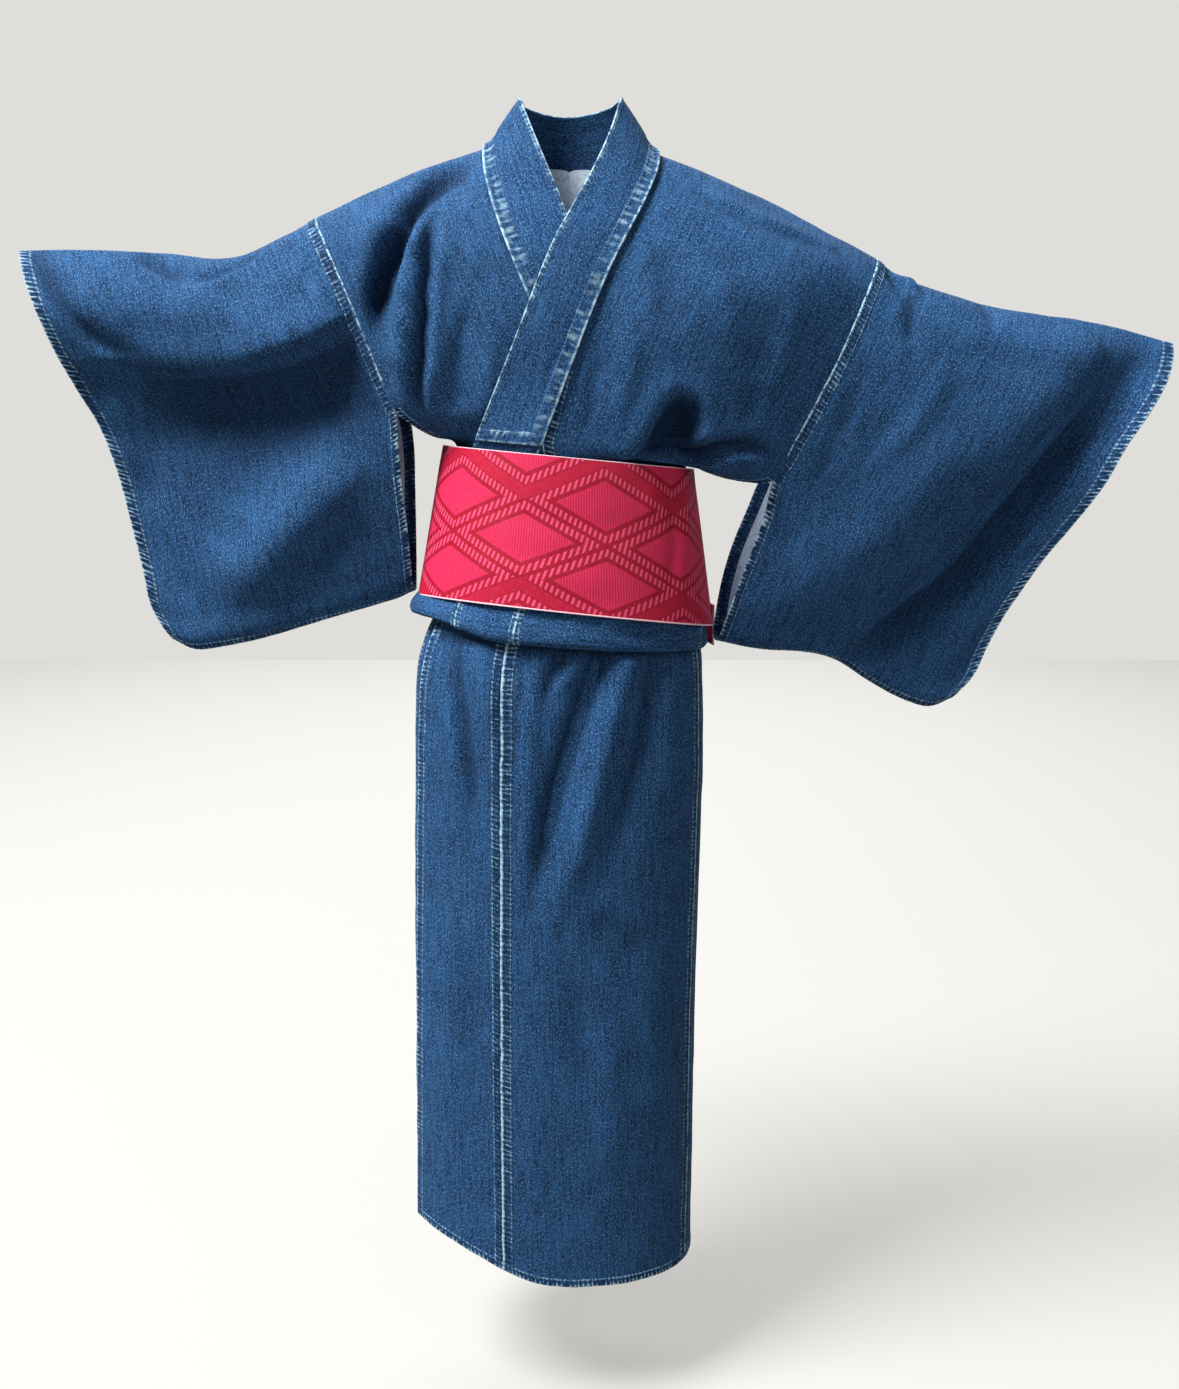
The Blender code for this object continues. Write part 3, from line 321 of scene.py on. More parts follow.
# sewn edges: folded bands that lie on the edge of a panel, with rows of stitches (mm from the edge, mm over it)
bandKinds = {
    "felled": bandKind("1 .6 .32 5.6", "1.9 .7, 10.2 .8", """
        -1.2 -.5 .2 0, -.9 .5 .7 .4, 0 .9 .9 .4, .8 .8 .3 .6, 1.6 .5 -.6 .4, 3.2 .4 -.65 .8, 5.2 .45 -.55 1.2,
        7.2 .45 -.5 1, 9 .55 -.4 .7, 10.2 .65 .1 .9, 11.2 .4 0 .5, 12.2 -.5 0 0"""),
    "hem": bandKind("1.1 .4 .36 5", "7.8 .5", """
        12.6 -1.5 -.2 0, 11 -2.1 0 .6, 5 -2 -.4 .2, 2.6 -2.05 -.5 1, -.2 -1.8 .2 .6, -.8 -.6 .6 .6, -.5 .5 .7 1.1,
        .4 .75 .2 1.3, 1.6 .6 -.45 1.5, 3 .5 -.6 1.5, 4.6 .5 -.6 1, 6.4 .5 -.35 .4, 7.8 .45 .1 .7, 8.8 .2 0 .3,
        9.4 -.5 0 0"""),
    "cuffHem": bandKind("1.1 .5 .4 5.6", "11.2 .6", """
        13.6 -1.5 -.2 0, 12 -2.1 -.4 .2, 5 -2 -.3 0, 2.6 -2.05 -.5 1, -.2 -1.8 .2 .5, -.8 -.6 .6 .5,
        -.5 .5 .75 .9, .5 .75 .2 1.1, 1.9 .6 -.45 1.2, 3.8 .5 -.6 1.3, 6.2 .5 -.6 1.1, 8.8 .5 -.35 .5,
        11.2 .5 .15 .8, 12.4 .2 0 .3, 13 -.5 0 0"""),
    "collarSeam": bandKind(".55 .4 .32 9.5", "2.2 .6, 13.2 .6", """
        -1 -.6 .4 0, -.7 .5 .8 .06, .1 .8 .9 .06, .9 .7 .4 .17, 2.4 .5 -.12 .29, 4.6 .6 0 .33, 7 .65 .08 .34,
        9.6 .65 .08 .34, 11.8 .6 0 .33, 13.4 .5 0 .28, 14.6 .2 0 .17, 15.2 -.5 0 0"""),
    "edgeSeam": bandKind("1 .5 .38 5.6", "8.8 .5", """
        -1.2 -.6 .2 0, -1.3 .1 .8 .3, -.4 .7 .9 .5, .8 .7 .3 .8, 2.2 .5 -.45 1, 4.6 .5 -.55 1.2, 7 .5 -.45 .8,
        9 .4 0 .8, 10.2 .1 0 .3, 10.8 -.4 0 0"""),
    "flatSide": bandKind("1.1 .3 .34 5.4", "10.4 .7", """
        .7 -.5 -.4 0, 1.2 .5 -.55 .14, 3 .5 -.65 .58, 5 .5 -.55 .86, 7.4 .5 -.5 .58, 9.4 .55 -.3 .5,
        10.6 .65 .15 .65, 11.6 .3 .05 .29, 12.2 -.5 0 0"""),
    "spread": bandKind("1.1 1 .38 5.7", "10.6 .8", """
        -2 -.5 .3 0, -1.5 .6 .8 .62, -.2 1 1.1 .39, .9 .9 .9 .62, 1.7 .5 0 .7, 3.2 .4 -.6 .62, 5.2 .45 -.55 .94,
        7.2 .45 -.5 .86, 9 .55 -.35 .55, 10.4 .65 .15 .7, 11.6 .4 0 .39, 12.6 -.5 0 0"""),
    "centre": bandKind(".7 .5 .25 6", "1.8 .6", """
        -1.6 -.6 .1 0, -1 .4 .6 .1, .1 .8 .75 .1, 1 .6 .2 .2, 3 .4 -.35 .4, 5.2 .35 -.05 .4, 6.2 -.4 0 0"""),
    "wideHem": bandKind("1 .4 .32 5.2", "11.2 .7", """
        13.6 -1.5 -.2 0, 12 -2.1 -.4 .2, 5 -2 -.3 0, -.2 -1.8 .3 .2, -.8 -.6 .7 .2, -.5 .5 .85 .4, .4 .7 .45 .8,
        1.5 .55 -.45 1, 3 .5 -.6 1.2, 4.6 .5 -.5 .8, 7.6 .5 -.2 .3, 10 .5 0 .2, 11.6 .6 .1 .7, 12.6 .3 0 .2,
        13.2 -.5 0 0"""),
    "collarEnd": bandKind(".4 .3 .28 11", "1.6 .6, 12.2 .7", """
        -.6 -1.4 .2 0, -.8 0 .6 .1, -.3 .6 .9 .1, .6 .6 .35 .3, 2.4 .5 -.2 .3, 5 .55 -.1 .4, 8 .6 0 .45,
        10.4 .55 .2 .5, 12.2 .5 .4 .5, 13.4 .1 .15 .3, 14.2 -.5 0 0"""),
    "selvage": bandKind(".5 0 .05 6", "", """
        1 -2.1 1 0, -.1 -2 1 0, -.5 -.9 1 0, -.4 0 1 0, 0 .2 1 0, .5 .1 1 0, .9 -.3 1 0"""),
    "fold": bandKind(".6 .3 .12 6", "3 .3", """
        3 -2 0 0, -.2 -1.8 .2 .2, -.8 -.5 .6 .1, -.4 .4 .85 .2, .4 .5 .4 .4, 1.5 .35 -.15 .5, 3 .3 0 .5,
        4.2 .1 0 .3, 5 -.4 0 0"""),
    "tuckSeam": bandKind(".8 .8 .3 5.4", "", """
        -6.4 -.5 0 0, -5.8 .4 .3 .45, -4.2 .5 0 .59, -2.2 .5 -.3 .59, -.8 .6 .3 .52, 0 .8 .9 .33, .8 .6 .4 .52,
        2.4 .5 -.4 .59, 4.2 .5 -.2 .59, 5.8 .4 .3 .39, 6.4 -.5 0 0"""),
    "selvageLow": bandKind(".5 0 .05 6", "", """
        1.2 -2.1 1 0, -.1 -2 1 0, -.6 -.9 1 0, -.5 .1 1 0, 0 .4 1 0, .8 .3 1 0, 1.3 -.3 1 0"""),
}


def edgeGrid(panel, edge, span):
    # part of a panel turned so that its rows run along the edge and its first column lies on it
    grids, at = [panel["outer"], panel["normals"]], panel["rows"]
    if panel["around"]:
        grids, at = [np.concatenate([grid, grid[:1]]) for grid in grids], np.r_[at, panel["coarse"]]
    low, high = (int(np.argmin(np.abs(at - value))) for value in (span or (at[0], at[-1])))
    grids = [grid[low:high + 1] for grid in grids]
    if edge in ("start", "end"):
        grids = [grid.transpose(1, 0, 2) for grid in grids]
    return [grid[:, ::-1] for grid in grids] if edge in ("last", "end") else grids


def fromFirstColumn(grid):
    # length along each row from its first point to each of its points
    steps = np.linalg.norm(np.diff(grid, axis=1), axis=2)
    return np.concatenate([np.zeros((len(grid), 1)), np.cumsum(steps, axis=1)], axis=1)


def offEdge(grid, normals, distance):
    # points at a distance in from the first column, along each row; a negative one stands off the edge
    reach = fromFirstColumn(grid)
    k = np.clip((reach < distance).sum(axis=1), 1, grid.shape[1] - 1)
    i = np.arange(len(grid))
    t = ((distance - reach[i, k - 1]) / np.maximum(reach[i, k] - reach[i, k - 1], tiny))[:, None]
    return grid[i, k - 1] * (1 - t) + grid[i, k] * t, unit(normals[i, k - 1] * (1 - t) + normals[i, k] * t)


def readRows(values, at):
    k = np.clip(np.floor(at).astype(int), 0, len(values) - 2)
    t = (at - k).reshape((-1,) + (1,) * (values.ndim - 1))
    return values[k] * (1 - t) + values[k + 1] * t


def sewnBand(panel, edge, kind, seed, span=None, shift=0.0):
    # the band is puckered along its length by uneven waves that lean across it; patches of wear follow the waves
    grid, normals = edgeGrid(panel, edge, span)
    spec = bandKinds[kind]
    first, firstNormals = offEdge(grid, normals, 2 * mm)
    at = evenRows(first, bandStep, 2)
    s = np.linspace(0.0, lengthsAlong(first)[-1], len(at))
    wander = 2.6 * lineNoise(s, 0.021, seed, 0.0, seed)
    strength = 0.95 + 0.45 * lineNoise(s, 0.045, seed + 9, 0.0, seed)
    wobble = (0.7 * lineNoise(s, 0.011, seed + 21, 0.0, seed)
              + 0.4 * lineNoise(s, 0.004, seed + 23, 0.0, seed)) * mm
    inward = unit(readRows(offEdge(grid, normals, 4 * mm)[0], at) - readRows(offEdge(grid, normals, 0.0)[0], at))
    columns, pales = [], []
    wide = spec["across"][-1][0]
    turns = s / mm / spec["pitch"]
    for away, height, pale, patchy in spec["across"]:
        point, normal = offEdge(grid, normals, shift + away * mm)
        point, normal = readRows(point, at), unit(readRows(normal, at))
        inside = np.clip(away / wide, 0.0, 1.0)
        wave = (np.sin(2 * math.pi * (turns + 0.35 * inside) + wander)
                + 0.6 * np.sin(2 * math.pi * (1.63 * turns - 0.3 * inside) + 2.1 * wander))
        if height > -0.3:       # the folded edges below lie still
            free = math.sin(math.pi * min(max((away + 1.0) / (wide + 1.0), 0.0), 1.0))
            height = height + spec["pucker"] * wave * (0.25 + 0.75 * free)
            point = point + inward * (wobble * spec["sway"])[:, None]
        columns.append(point + normal * (height * mm + 0 * s)[:, None])
        rough = lineNoise(s, 0.0042, seed + 5, away * 0.0004)
        blot = lineNoise(s, 0.0095, seed + 15, away * 0.0005)
        patch = patchy * strength * np.clip(spec["ladder"] * wave + 0.8 * rough + 0.5 * blot - 0.05, -0.6, 1.1)
        pales.append(np.clip(pale * (0.85 + 0.7 * rough) + patch, -0.8, 1.2))
    band = np.stack(columns, axis=1)
    uv = np.stack(np.broadcast_arrays(spec["across"][None, :, 0] * mm + 0.37 * seed, s[:, None]), axis=2)
    # turn the band so that its faces look out
    k = int(np.argmax(spec["across"][:, 1]))
    probe = np.cross(band[1:, k] - band[:-1, k], band[:-1, k + 1] - band[:-1, k])
    if np.sum(probe * readRows(firstNormals, at)[:-1]) < 0:
        band, uv, pales = band[:, ::-1], uv[:, ::-1], pales[::-1]
    rows = [stitchRow(grid, normals, away * mm, height * mm, seed + away) for away, height in spec["stitches"]]
    return (band, uv, np.stack(pales, axis=1)), rows


# one short bead of thread for each stitch: two tips and a ring of three corners at each shoulder
stitch = {
    "pitch": 0.0040, "length": 0.0031, "halfWidth": 0.00028, "high": 0.00026, "stray": 0.00016,
    "corners": rowsOf("-1 0 -.6, -.55 -1 -.3, -.55 0 1, -.55 1 -.3, .55 -1 -.3, .55 0 1, .55 1 -.3, 1 0 -.6"),
    "faces": rowsOf("0 1 2, 0 2 3, 0 3 1, 7 5 4, 7 6 5, 7 4 6, 1 4 5, 1 5 2, 2 5 6, 2 6 3, 3 6 4, 3 4 1"),
}


def stitchRow(grid, normals, away, height, seed):
    line, up = offEdge(grid, normals, away)
    at = evenRows(line, stitch["pitch"], 2)
    gap = at[1] - at[0]
    middle = at[:-1] + 0.5 * gap
    point, up = readRows(line, middle), unit(readRows(up, middle))
    step = min(0.4, 0.4 * gap)
    along = unit(readRows(line, middle + step) - readRows(line, middle - step))
    side = np.cross(up, along)
    uneven = lineNoise(np.arange(len(middle)) * 1.0, 0.9, seed, 0.0, seed)
    long = stitch["length"] * (1 + 0.12 * uneven)[:, None] / 2
    point = point + up * height + side * (uneven * stitch["stray"])[:, None]
    return np.stack([point + along * long * place + side * stitch["halfWidth"] * wide + up * stitch["high"] * tall
                     for place, wide, tall in stitch["corners"]], axis=1)


def stitchesMesh(name, rows, material):
    beads = np.concatenate(rows)
    points, corners = beads.reshape(-1, 3), beads.shape[1]
    index = ((np.arange(len(beads)) * corners)[:, None, None] + stitch["faces"].astype(int)).reshape(-1, 3)
    a, b, c = (points[index[:len(stitch["faces"]), k]] for k in range(3))
    if np.sum((a - points[:corners].mean(axis=0)) * np.cross(b - a, c - a)) < 0:
        index = index[:, ::-1]
    return meshPiece(name, points, index, [material])


def nodeIn(tree, kind, **values):
    node = tree.nodes.new(kind)
    for name, value in values.items():
        setattr(node, name, value)
    return node


def plug(tree, inputs, values):
    # links or sets the inputs of a node, by their names or numbers
    for name, value in values.items():
        if isinstance(value, bpy.types.NodeSocket):
            tree.links.new(value, inputs[name])
        else:
            inputs[name].default_value = value


def sumOf(tree, operation, *values, clamp=False):
    node = nodeIn(tree, "ShaderNodeMath", operation=operation, use_clamp=clamp)
    plug(tree, node.inputs, dict(enumerate(values)))
    return node.outputs[0]


def sumsIn(tree, *operations):
    return [partial(sumOf, tree, operation) for operation in operations]


def between(tree, value, low, high):
    # 0 below low, 1 above high, an S between them
    node = nodeIn(tree, "ShaderNodeMapRange", interpolation_type="SMOOTHSTEP")
    plug(tree, node.inputs, {"Value": value, "From Min": low, "From Max": high})
    return node.outputs["Result"]


def mixed(tree, share, first, second):
    node = nodeIn(tree, "ShaderNodeMix", data_type="RGBA")
    plug(tree, node.inputs, {0: share, 6: first, 7: second})
    return node.outputs[2]


def noiseAt(tree, vector, across, along, detail, rough=0.5):
    # noise on the cloth's own measure (counts per metre across and along)
    place = nodeIn(tree, "ShaderNodeMapping")
    plug(tree, place.inputs, {"Vector": vector, "Scale": (across, along, 1.0)})
    node = nodeIn(tree, "ShaderNodeTexNoise", noise_dimensions="2D")
    plug(tree, node.inputs, {"Vector": place.outputs[0], "Scale": 1.0, "Detail": detail, "Roughness": rough})
    return node.outputs["Fac"]


def groupOf(name, inputs, outputs):
    tree = bpy.data.node_groups.new(name, "ShaderNodeTree")
    for way, labels in (("INPUT", inputs), ("OUTPUT", outputs)):
        for label, kind in labels.items():
            tree.interface.new_socket(label, in_out=way, socket_type="NodeSocket" + kind)
    return tree, tree.nodes.new("NodeGroupInput").outputs, tree.nodes.new("NodeGroupOutput").inputs


def rgb(code):
    # a screen colour as the shader's linear one
    parts = [int(code[k:k + 2], 16) / 255 for k in (0, 2, 4)]
    return tuple(c / 12.92 if c <= 0.04045 else ((c + 0.055) / 1.055) ** 2.4 for c in parts) + (1.0,)


# the colour that below-zero paleness mixes to serves the darker seam cloth and painted shade in creases and under
# the tuck
denimLook = {"deep": "0a2443", "mid": "204a76", "fleck": "587fa5", "worn": "9fc0cd", "seamDarkAndShade": "081830",
             "reverse": "e4f2ff", "reverseFleck": "a9c6e2", "thread": "5c82a4", "specular": 0.12,
             "slub": (330.0, 26.0, 2.0), "yarn": (620.0, 190.0, 2.0, 0.6), "speck": (700.0, 420.0, 1.0, 0.6),
             "cloud": (26.0, 14.0, 3.0, 0.55), "weft": (60.0, 760.0, 1.0), "crumb": (520.0, 520.0, 2.0, 0.65)}


def denimGroup():
    tree, source, target = groupOf("denimCloth", {"Place": "Vector", "Pale": "Float"}, {
        "Color": "Color", "Reverse": "Color", "Roughness": "Float", "Height": "Float"})
    add, take, times, timesAdd, least, most = sumsIn(
        tree, "ADD", "SUBTRACT", "MULTIPLY", "MULTIPLY_ADD", "MINIMUM", "MAXIMUM")
    slub, yarn, speck, cloud, weft, crumb = (noiseAt(tree, source["Place"], *denimLook[name])
                                             for name in ("slub", "yarn", "speck", "cloud", "weft", "crumb"))
    shade = 0.46
    for field, share in ((slub, 1.5), (yarn, 1.5), (cloud, 0.55), (weft, 0.35)):
        shade = timesAdd(take(field, 0.5), share, shade)
    shade = add(shade, 0.0, clamp=True)
    # paleness above 0 is wear, which the yarn breaks up; below 0 is darker seam cloth and painted shade and shadow
    pale = source["Pale"]
    wear = times(most(pale, 0.0), timesAdd(crumb, 2.2, -0.20), clamp=True)
    # painted shade of crease pits and painted shadow under the tuck, with the darker seam cloth, mix towards this
    # colour
    seamDarkAndShade = times(least(pale, 0.0), -0.95, clamp=True)
    colour = mixed(tree, shade, rgb(denimLook["deep"]), rgb(denimLook["mid"]))
    for share, name in ((times(between(tree, speck, 0.54, 0.72), 0.62), "fleck"), (seamDarkAndShade, "seamDarkAndShade"), (wear, "worn")):
        colour = mixed(tree, share, colour, rgb(denimLook[name]))
    back = mixed(tree, between(tree, yarn, 0.45, 0.75), rgb(denimLook["reverse"]), rgb(denimLook["reverseFleck"]))
    plug(tree, target, {"Color": colour, "Reverse": back, "Roughness": timesAdd(shade, -0.10, 0.92),
                        "Height": timesAdd(weft, 0.3, timesAdd(yarn, 0.7, times(slub, 0.8)))})
    return tree


obiLook = {"fill": "c52650", "rib": "ae163c", "band": "8e001f", "plain": "a20a2d", "dash": "cf486a",
           "edge": "ddb0bb", "glint": "d8607c", "specular": 0.22, "wide": 0.178, "tall": 0.087,
           "plainHigh": 0.0125, "ribPitch": 0.0029, "dashPitch": 0.0061, "dashLean": 0.30,
           "yarn": (900.0, 160.0, 2.0, 0.6)}


def obiGroup():
    # a lattice of diamonds, the larger distance of x / wide + z / tall and x / wide - z / tall from a whole number
    tree, source, target = groupOf("obiCloth", {"Place": "Vector"}, {
        "Color": "Color", "Roughness": "Float", "Height": "Float"})
    add, take, times, timesAdd, part, size, wrap, least, most = sumsIn(
        tree, "ADD", "SUBTRACT", "MULTIPLY", "MULTIPLY_ADD", "DIVIDE", "ABSOLUTE", "WRAP", "MINIMUM", "MAXIMUM")
    inside = partial(between, tree)
    split = nodeIn(tree, "ShaderNodeSeparateXYZ")
    plug(tree, split.inputs, {0: source["Place"]})
    x, z = split.outputs[0], split.outputs[1]
    tall, plainHigh = obiLook["tall"], obiLook["plainHigh"]

    def fromWhole(value):
        # distance to the nearest whole number
        return size(wrap(value, 0.5, -0.5))

    # above a zigzag, half a diamond to a whole one from the middle, a plain band is let into the lattice
    across, away = part(x, obiLook["wide"]), size(z)
    over = take(away, timesAdd(fromWhole(across), tall, tall / 2))
    up = part(take(away, least(most(over, 0.0), plainHigh)), tall)
    far = most(fromWhole(add(across, up)), fromWhole(take(across, up)))
    diamond = take(1.0, inside(far, 0.304, 0.316))
    zone = take(inside(far, 0.366, 0.378), inside(far, 0.466, 0.476))
    broad = times(inside(over, -0.0012, 0.0), inside(over, plainHigh + 0.0012, plainHigh))
    ribbed = times(diamond, inside(fromWhole(part(x, obiLook["ribPitch"])), 0.12, 0.34))
    lean = timesAdd(z, obiLook["dashLean"], x)
    dash = times(zone, take(1.0, inside(fromWhole(part(lean, obiLook["dashPitch"])), 0.16, 0.27)))
    yarn = noiseAt(tree, source["Place"], *obiLook["yarn"])
    colour = mixed(tree, diamond, rgb(obiLook["band"]), rgb(obiLook["fill"]))
    for share, name in ((ribbed, "rib"), (times(zone, 0.45), "plain"), (dash, "dash"),
                        (times(broad, take(1.0, zone)), "plain"),
                        (times(inside(yarn, 0.40, 0.75), 0.10), "glint")):
        colour = mixed(tree, share, colour, rgb(obiLook[name]))
    plug(tree, target, {"Color": colour, "Roughness": timesAdd(yarn, 0.2, 0.45),
                        "Height": timesAdd(ribbed, -0.4, timesAdd(yarn, 0.5, times(most(diamond, dash), 0.6)))})
    return tree


def materialOf(name, values):
    material = bpy.data.materials.new(name)
    material.use_nodes = True
    shader = material.node_tree.nodes["Principled BSDF"].inputs
    plug(material.node_tree, shader, values)
    return material, material.node_tree, shader


def clothMaterial(name, group, colourFrom, distance, specular):
    material, tree, shader = materialOf(name, {"Specular IOR Level": specular})
    cloth, bump = nodeIn(tree, "ShaderNodeGroup", node_tree=group), nodeIn(tree, "ShaderNodeBump")
    plug(tree, cloth.inputs, {"Place": nodeIn(tree, "ShaderNodeUVMap", uv_map="cut").outputs[0]})
    if "Pale" in cloth.inputs:
        # the pale attribute holds wear above 0; below 0 darker seam cloth, painted shade in crease pits and
        # painted shadow under the tuck
        wear = nodeIn(tree, "ShaderNodeAttribute", attribute_name="pale")
        plug(tree, cloth.inputs, {"Pale": wear.outputs["Fac"]})
    plug(tree, bump.inputs, {"Distance": distance, "Strength": 0.6, "Height": cloth.outputs["Height"]})
    plug(tree, shader, {"Base Color": cloth.outputs[colourFrom], "Roughness": cloth.outputs["Roughness"],
                        "Normal": bump.outputs[0]})
    return material


denimNodes, obiNodes = denimGroup(), obiGroup()
denim = clothMaterial("denim", denimNodes, "Color", 0.0006, denimLook["specular"])
denimReverse = clothMaterial("denimReverse", denimNodes, "Reverse", 0.0005, denimLook["specular"])
obiCloth = clothMaterial("obiCloth", obiNodes, "Color", 0.0005, obiLook["specular"])
obiEdge = materialOf("obiEdge", {"Base Color": rgb(obiLook["edge"]), "Roughness": 0.6})[0]
threadBlue = materialOf("threadBlue", {"Base Color": rgb(denimLook["thread"]), "Roughness": 0.7})[0]
denimCloth = {"slot": "denim", "materials": [denim, denimReverse], "wall": denimWall, "turnUv": False,
              "band": denim, "thread": threadBlue}
collarCloth = dict(denimCloth, slot="denim_collar", materials=[denim, denim])
beltCloth = {"slot": "obi_cloth", "materials": [obiCloth, obiCloth], "wall": obiWall, "turnUv": True,
             "band": obiEdge, "thread": None}
print("materials made")


def makePanel(coarse, around=False, middle=0.0, step=fineStep, acrossStep=None, lift=denimLift):
    grid, rows = finer(coarse, step, around, acrossStep)
    return {"grid": grid, "rows": rows, "coarse": len(coarse), "around": around, "lift": lift,
            "normals": outwardNormals(grid, around, middle)}


def dress(panel, front=(), back=(), noise=0.0, seed=1, weight=1.0, room=None):
    # moves the cloth along its normals by the creases of the layer that it is in and by a soft unevenness, but
    # inwards by no more than a share of the room to the opposite layer; the pits of the creases get painted shade
    grid, normals, facing = panel["grid"], panel["normals"], 0.45
    lift = np.zeros(grid.shape[:2])
    for creases, turned in ((front, -1), (back, 1)):
        lift += creaseHeight(grid, creases) * smoothStep(turned * normals[..., 1] / facing)
    # painted shade: the deeper a crease's pit, the darker the colour painted there
    pale = -0.45 * np.clip(-lift / 0.006, 0, 1) - 0.35 * np.clip((-lift - 0.006) / 0.010, 0, 1)
    lift += noise * (softNoise(grid * [1.0, 1.0, 0.6], 0.055, seed) + 0.5 * softNoise(grid, 0.024, seed + 3))
    lift = lift * weight
    if room is not None:
        lift = np.maximum(lift, -0.3 * room)
    panel["grid"] = grid + normals * lift[..., None]
    fresh = crossNormals(panel["grid"], panel["around"])
    panel["normals"] = fresh * np.sign(np.sum(fresh * normals))
    panel["pale"] = pale * weight


def addPiece(name, panel, nodes, cloth, edges=(), uvOffset=(0.0, 0.0)):
    # the cloth of a panel, the bands sewn on its edges (edge, kind, span of coarse rows, shift) and their stitches
    panel["outer"] = panel["grid"] + panel["normals"] * panel["lift"]
    shell = clothShell(name, panel, cloth, uvOffset)
    extra, bands, rows = [], [], []
    for k, (edge, kind, *place) in enumerate(edges):
        band, stitched = sewnBand(panel, edge, kind, 1.0 + k * 2.3 + len(name) * 0.7, *place)
        bands.append(band)
        rows.extend(stitched)
    if bands:
        extra.append(gridsMesh(name + "Seams", bands, cloth["band"]))
    if rows and cloth["thread"]:
        extra.append(stitchesMesh(name + "Stitches", rows, cloth["thread"]))
    for piece in [shell] + extra:
        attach(piece, "root")
    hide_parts(*nodes)


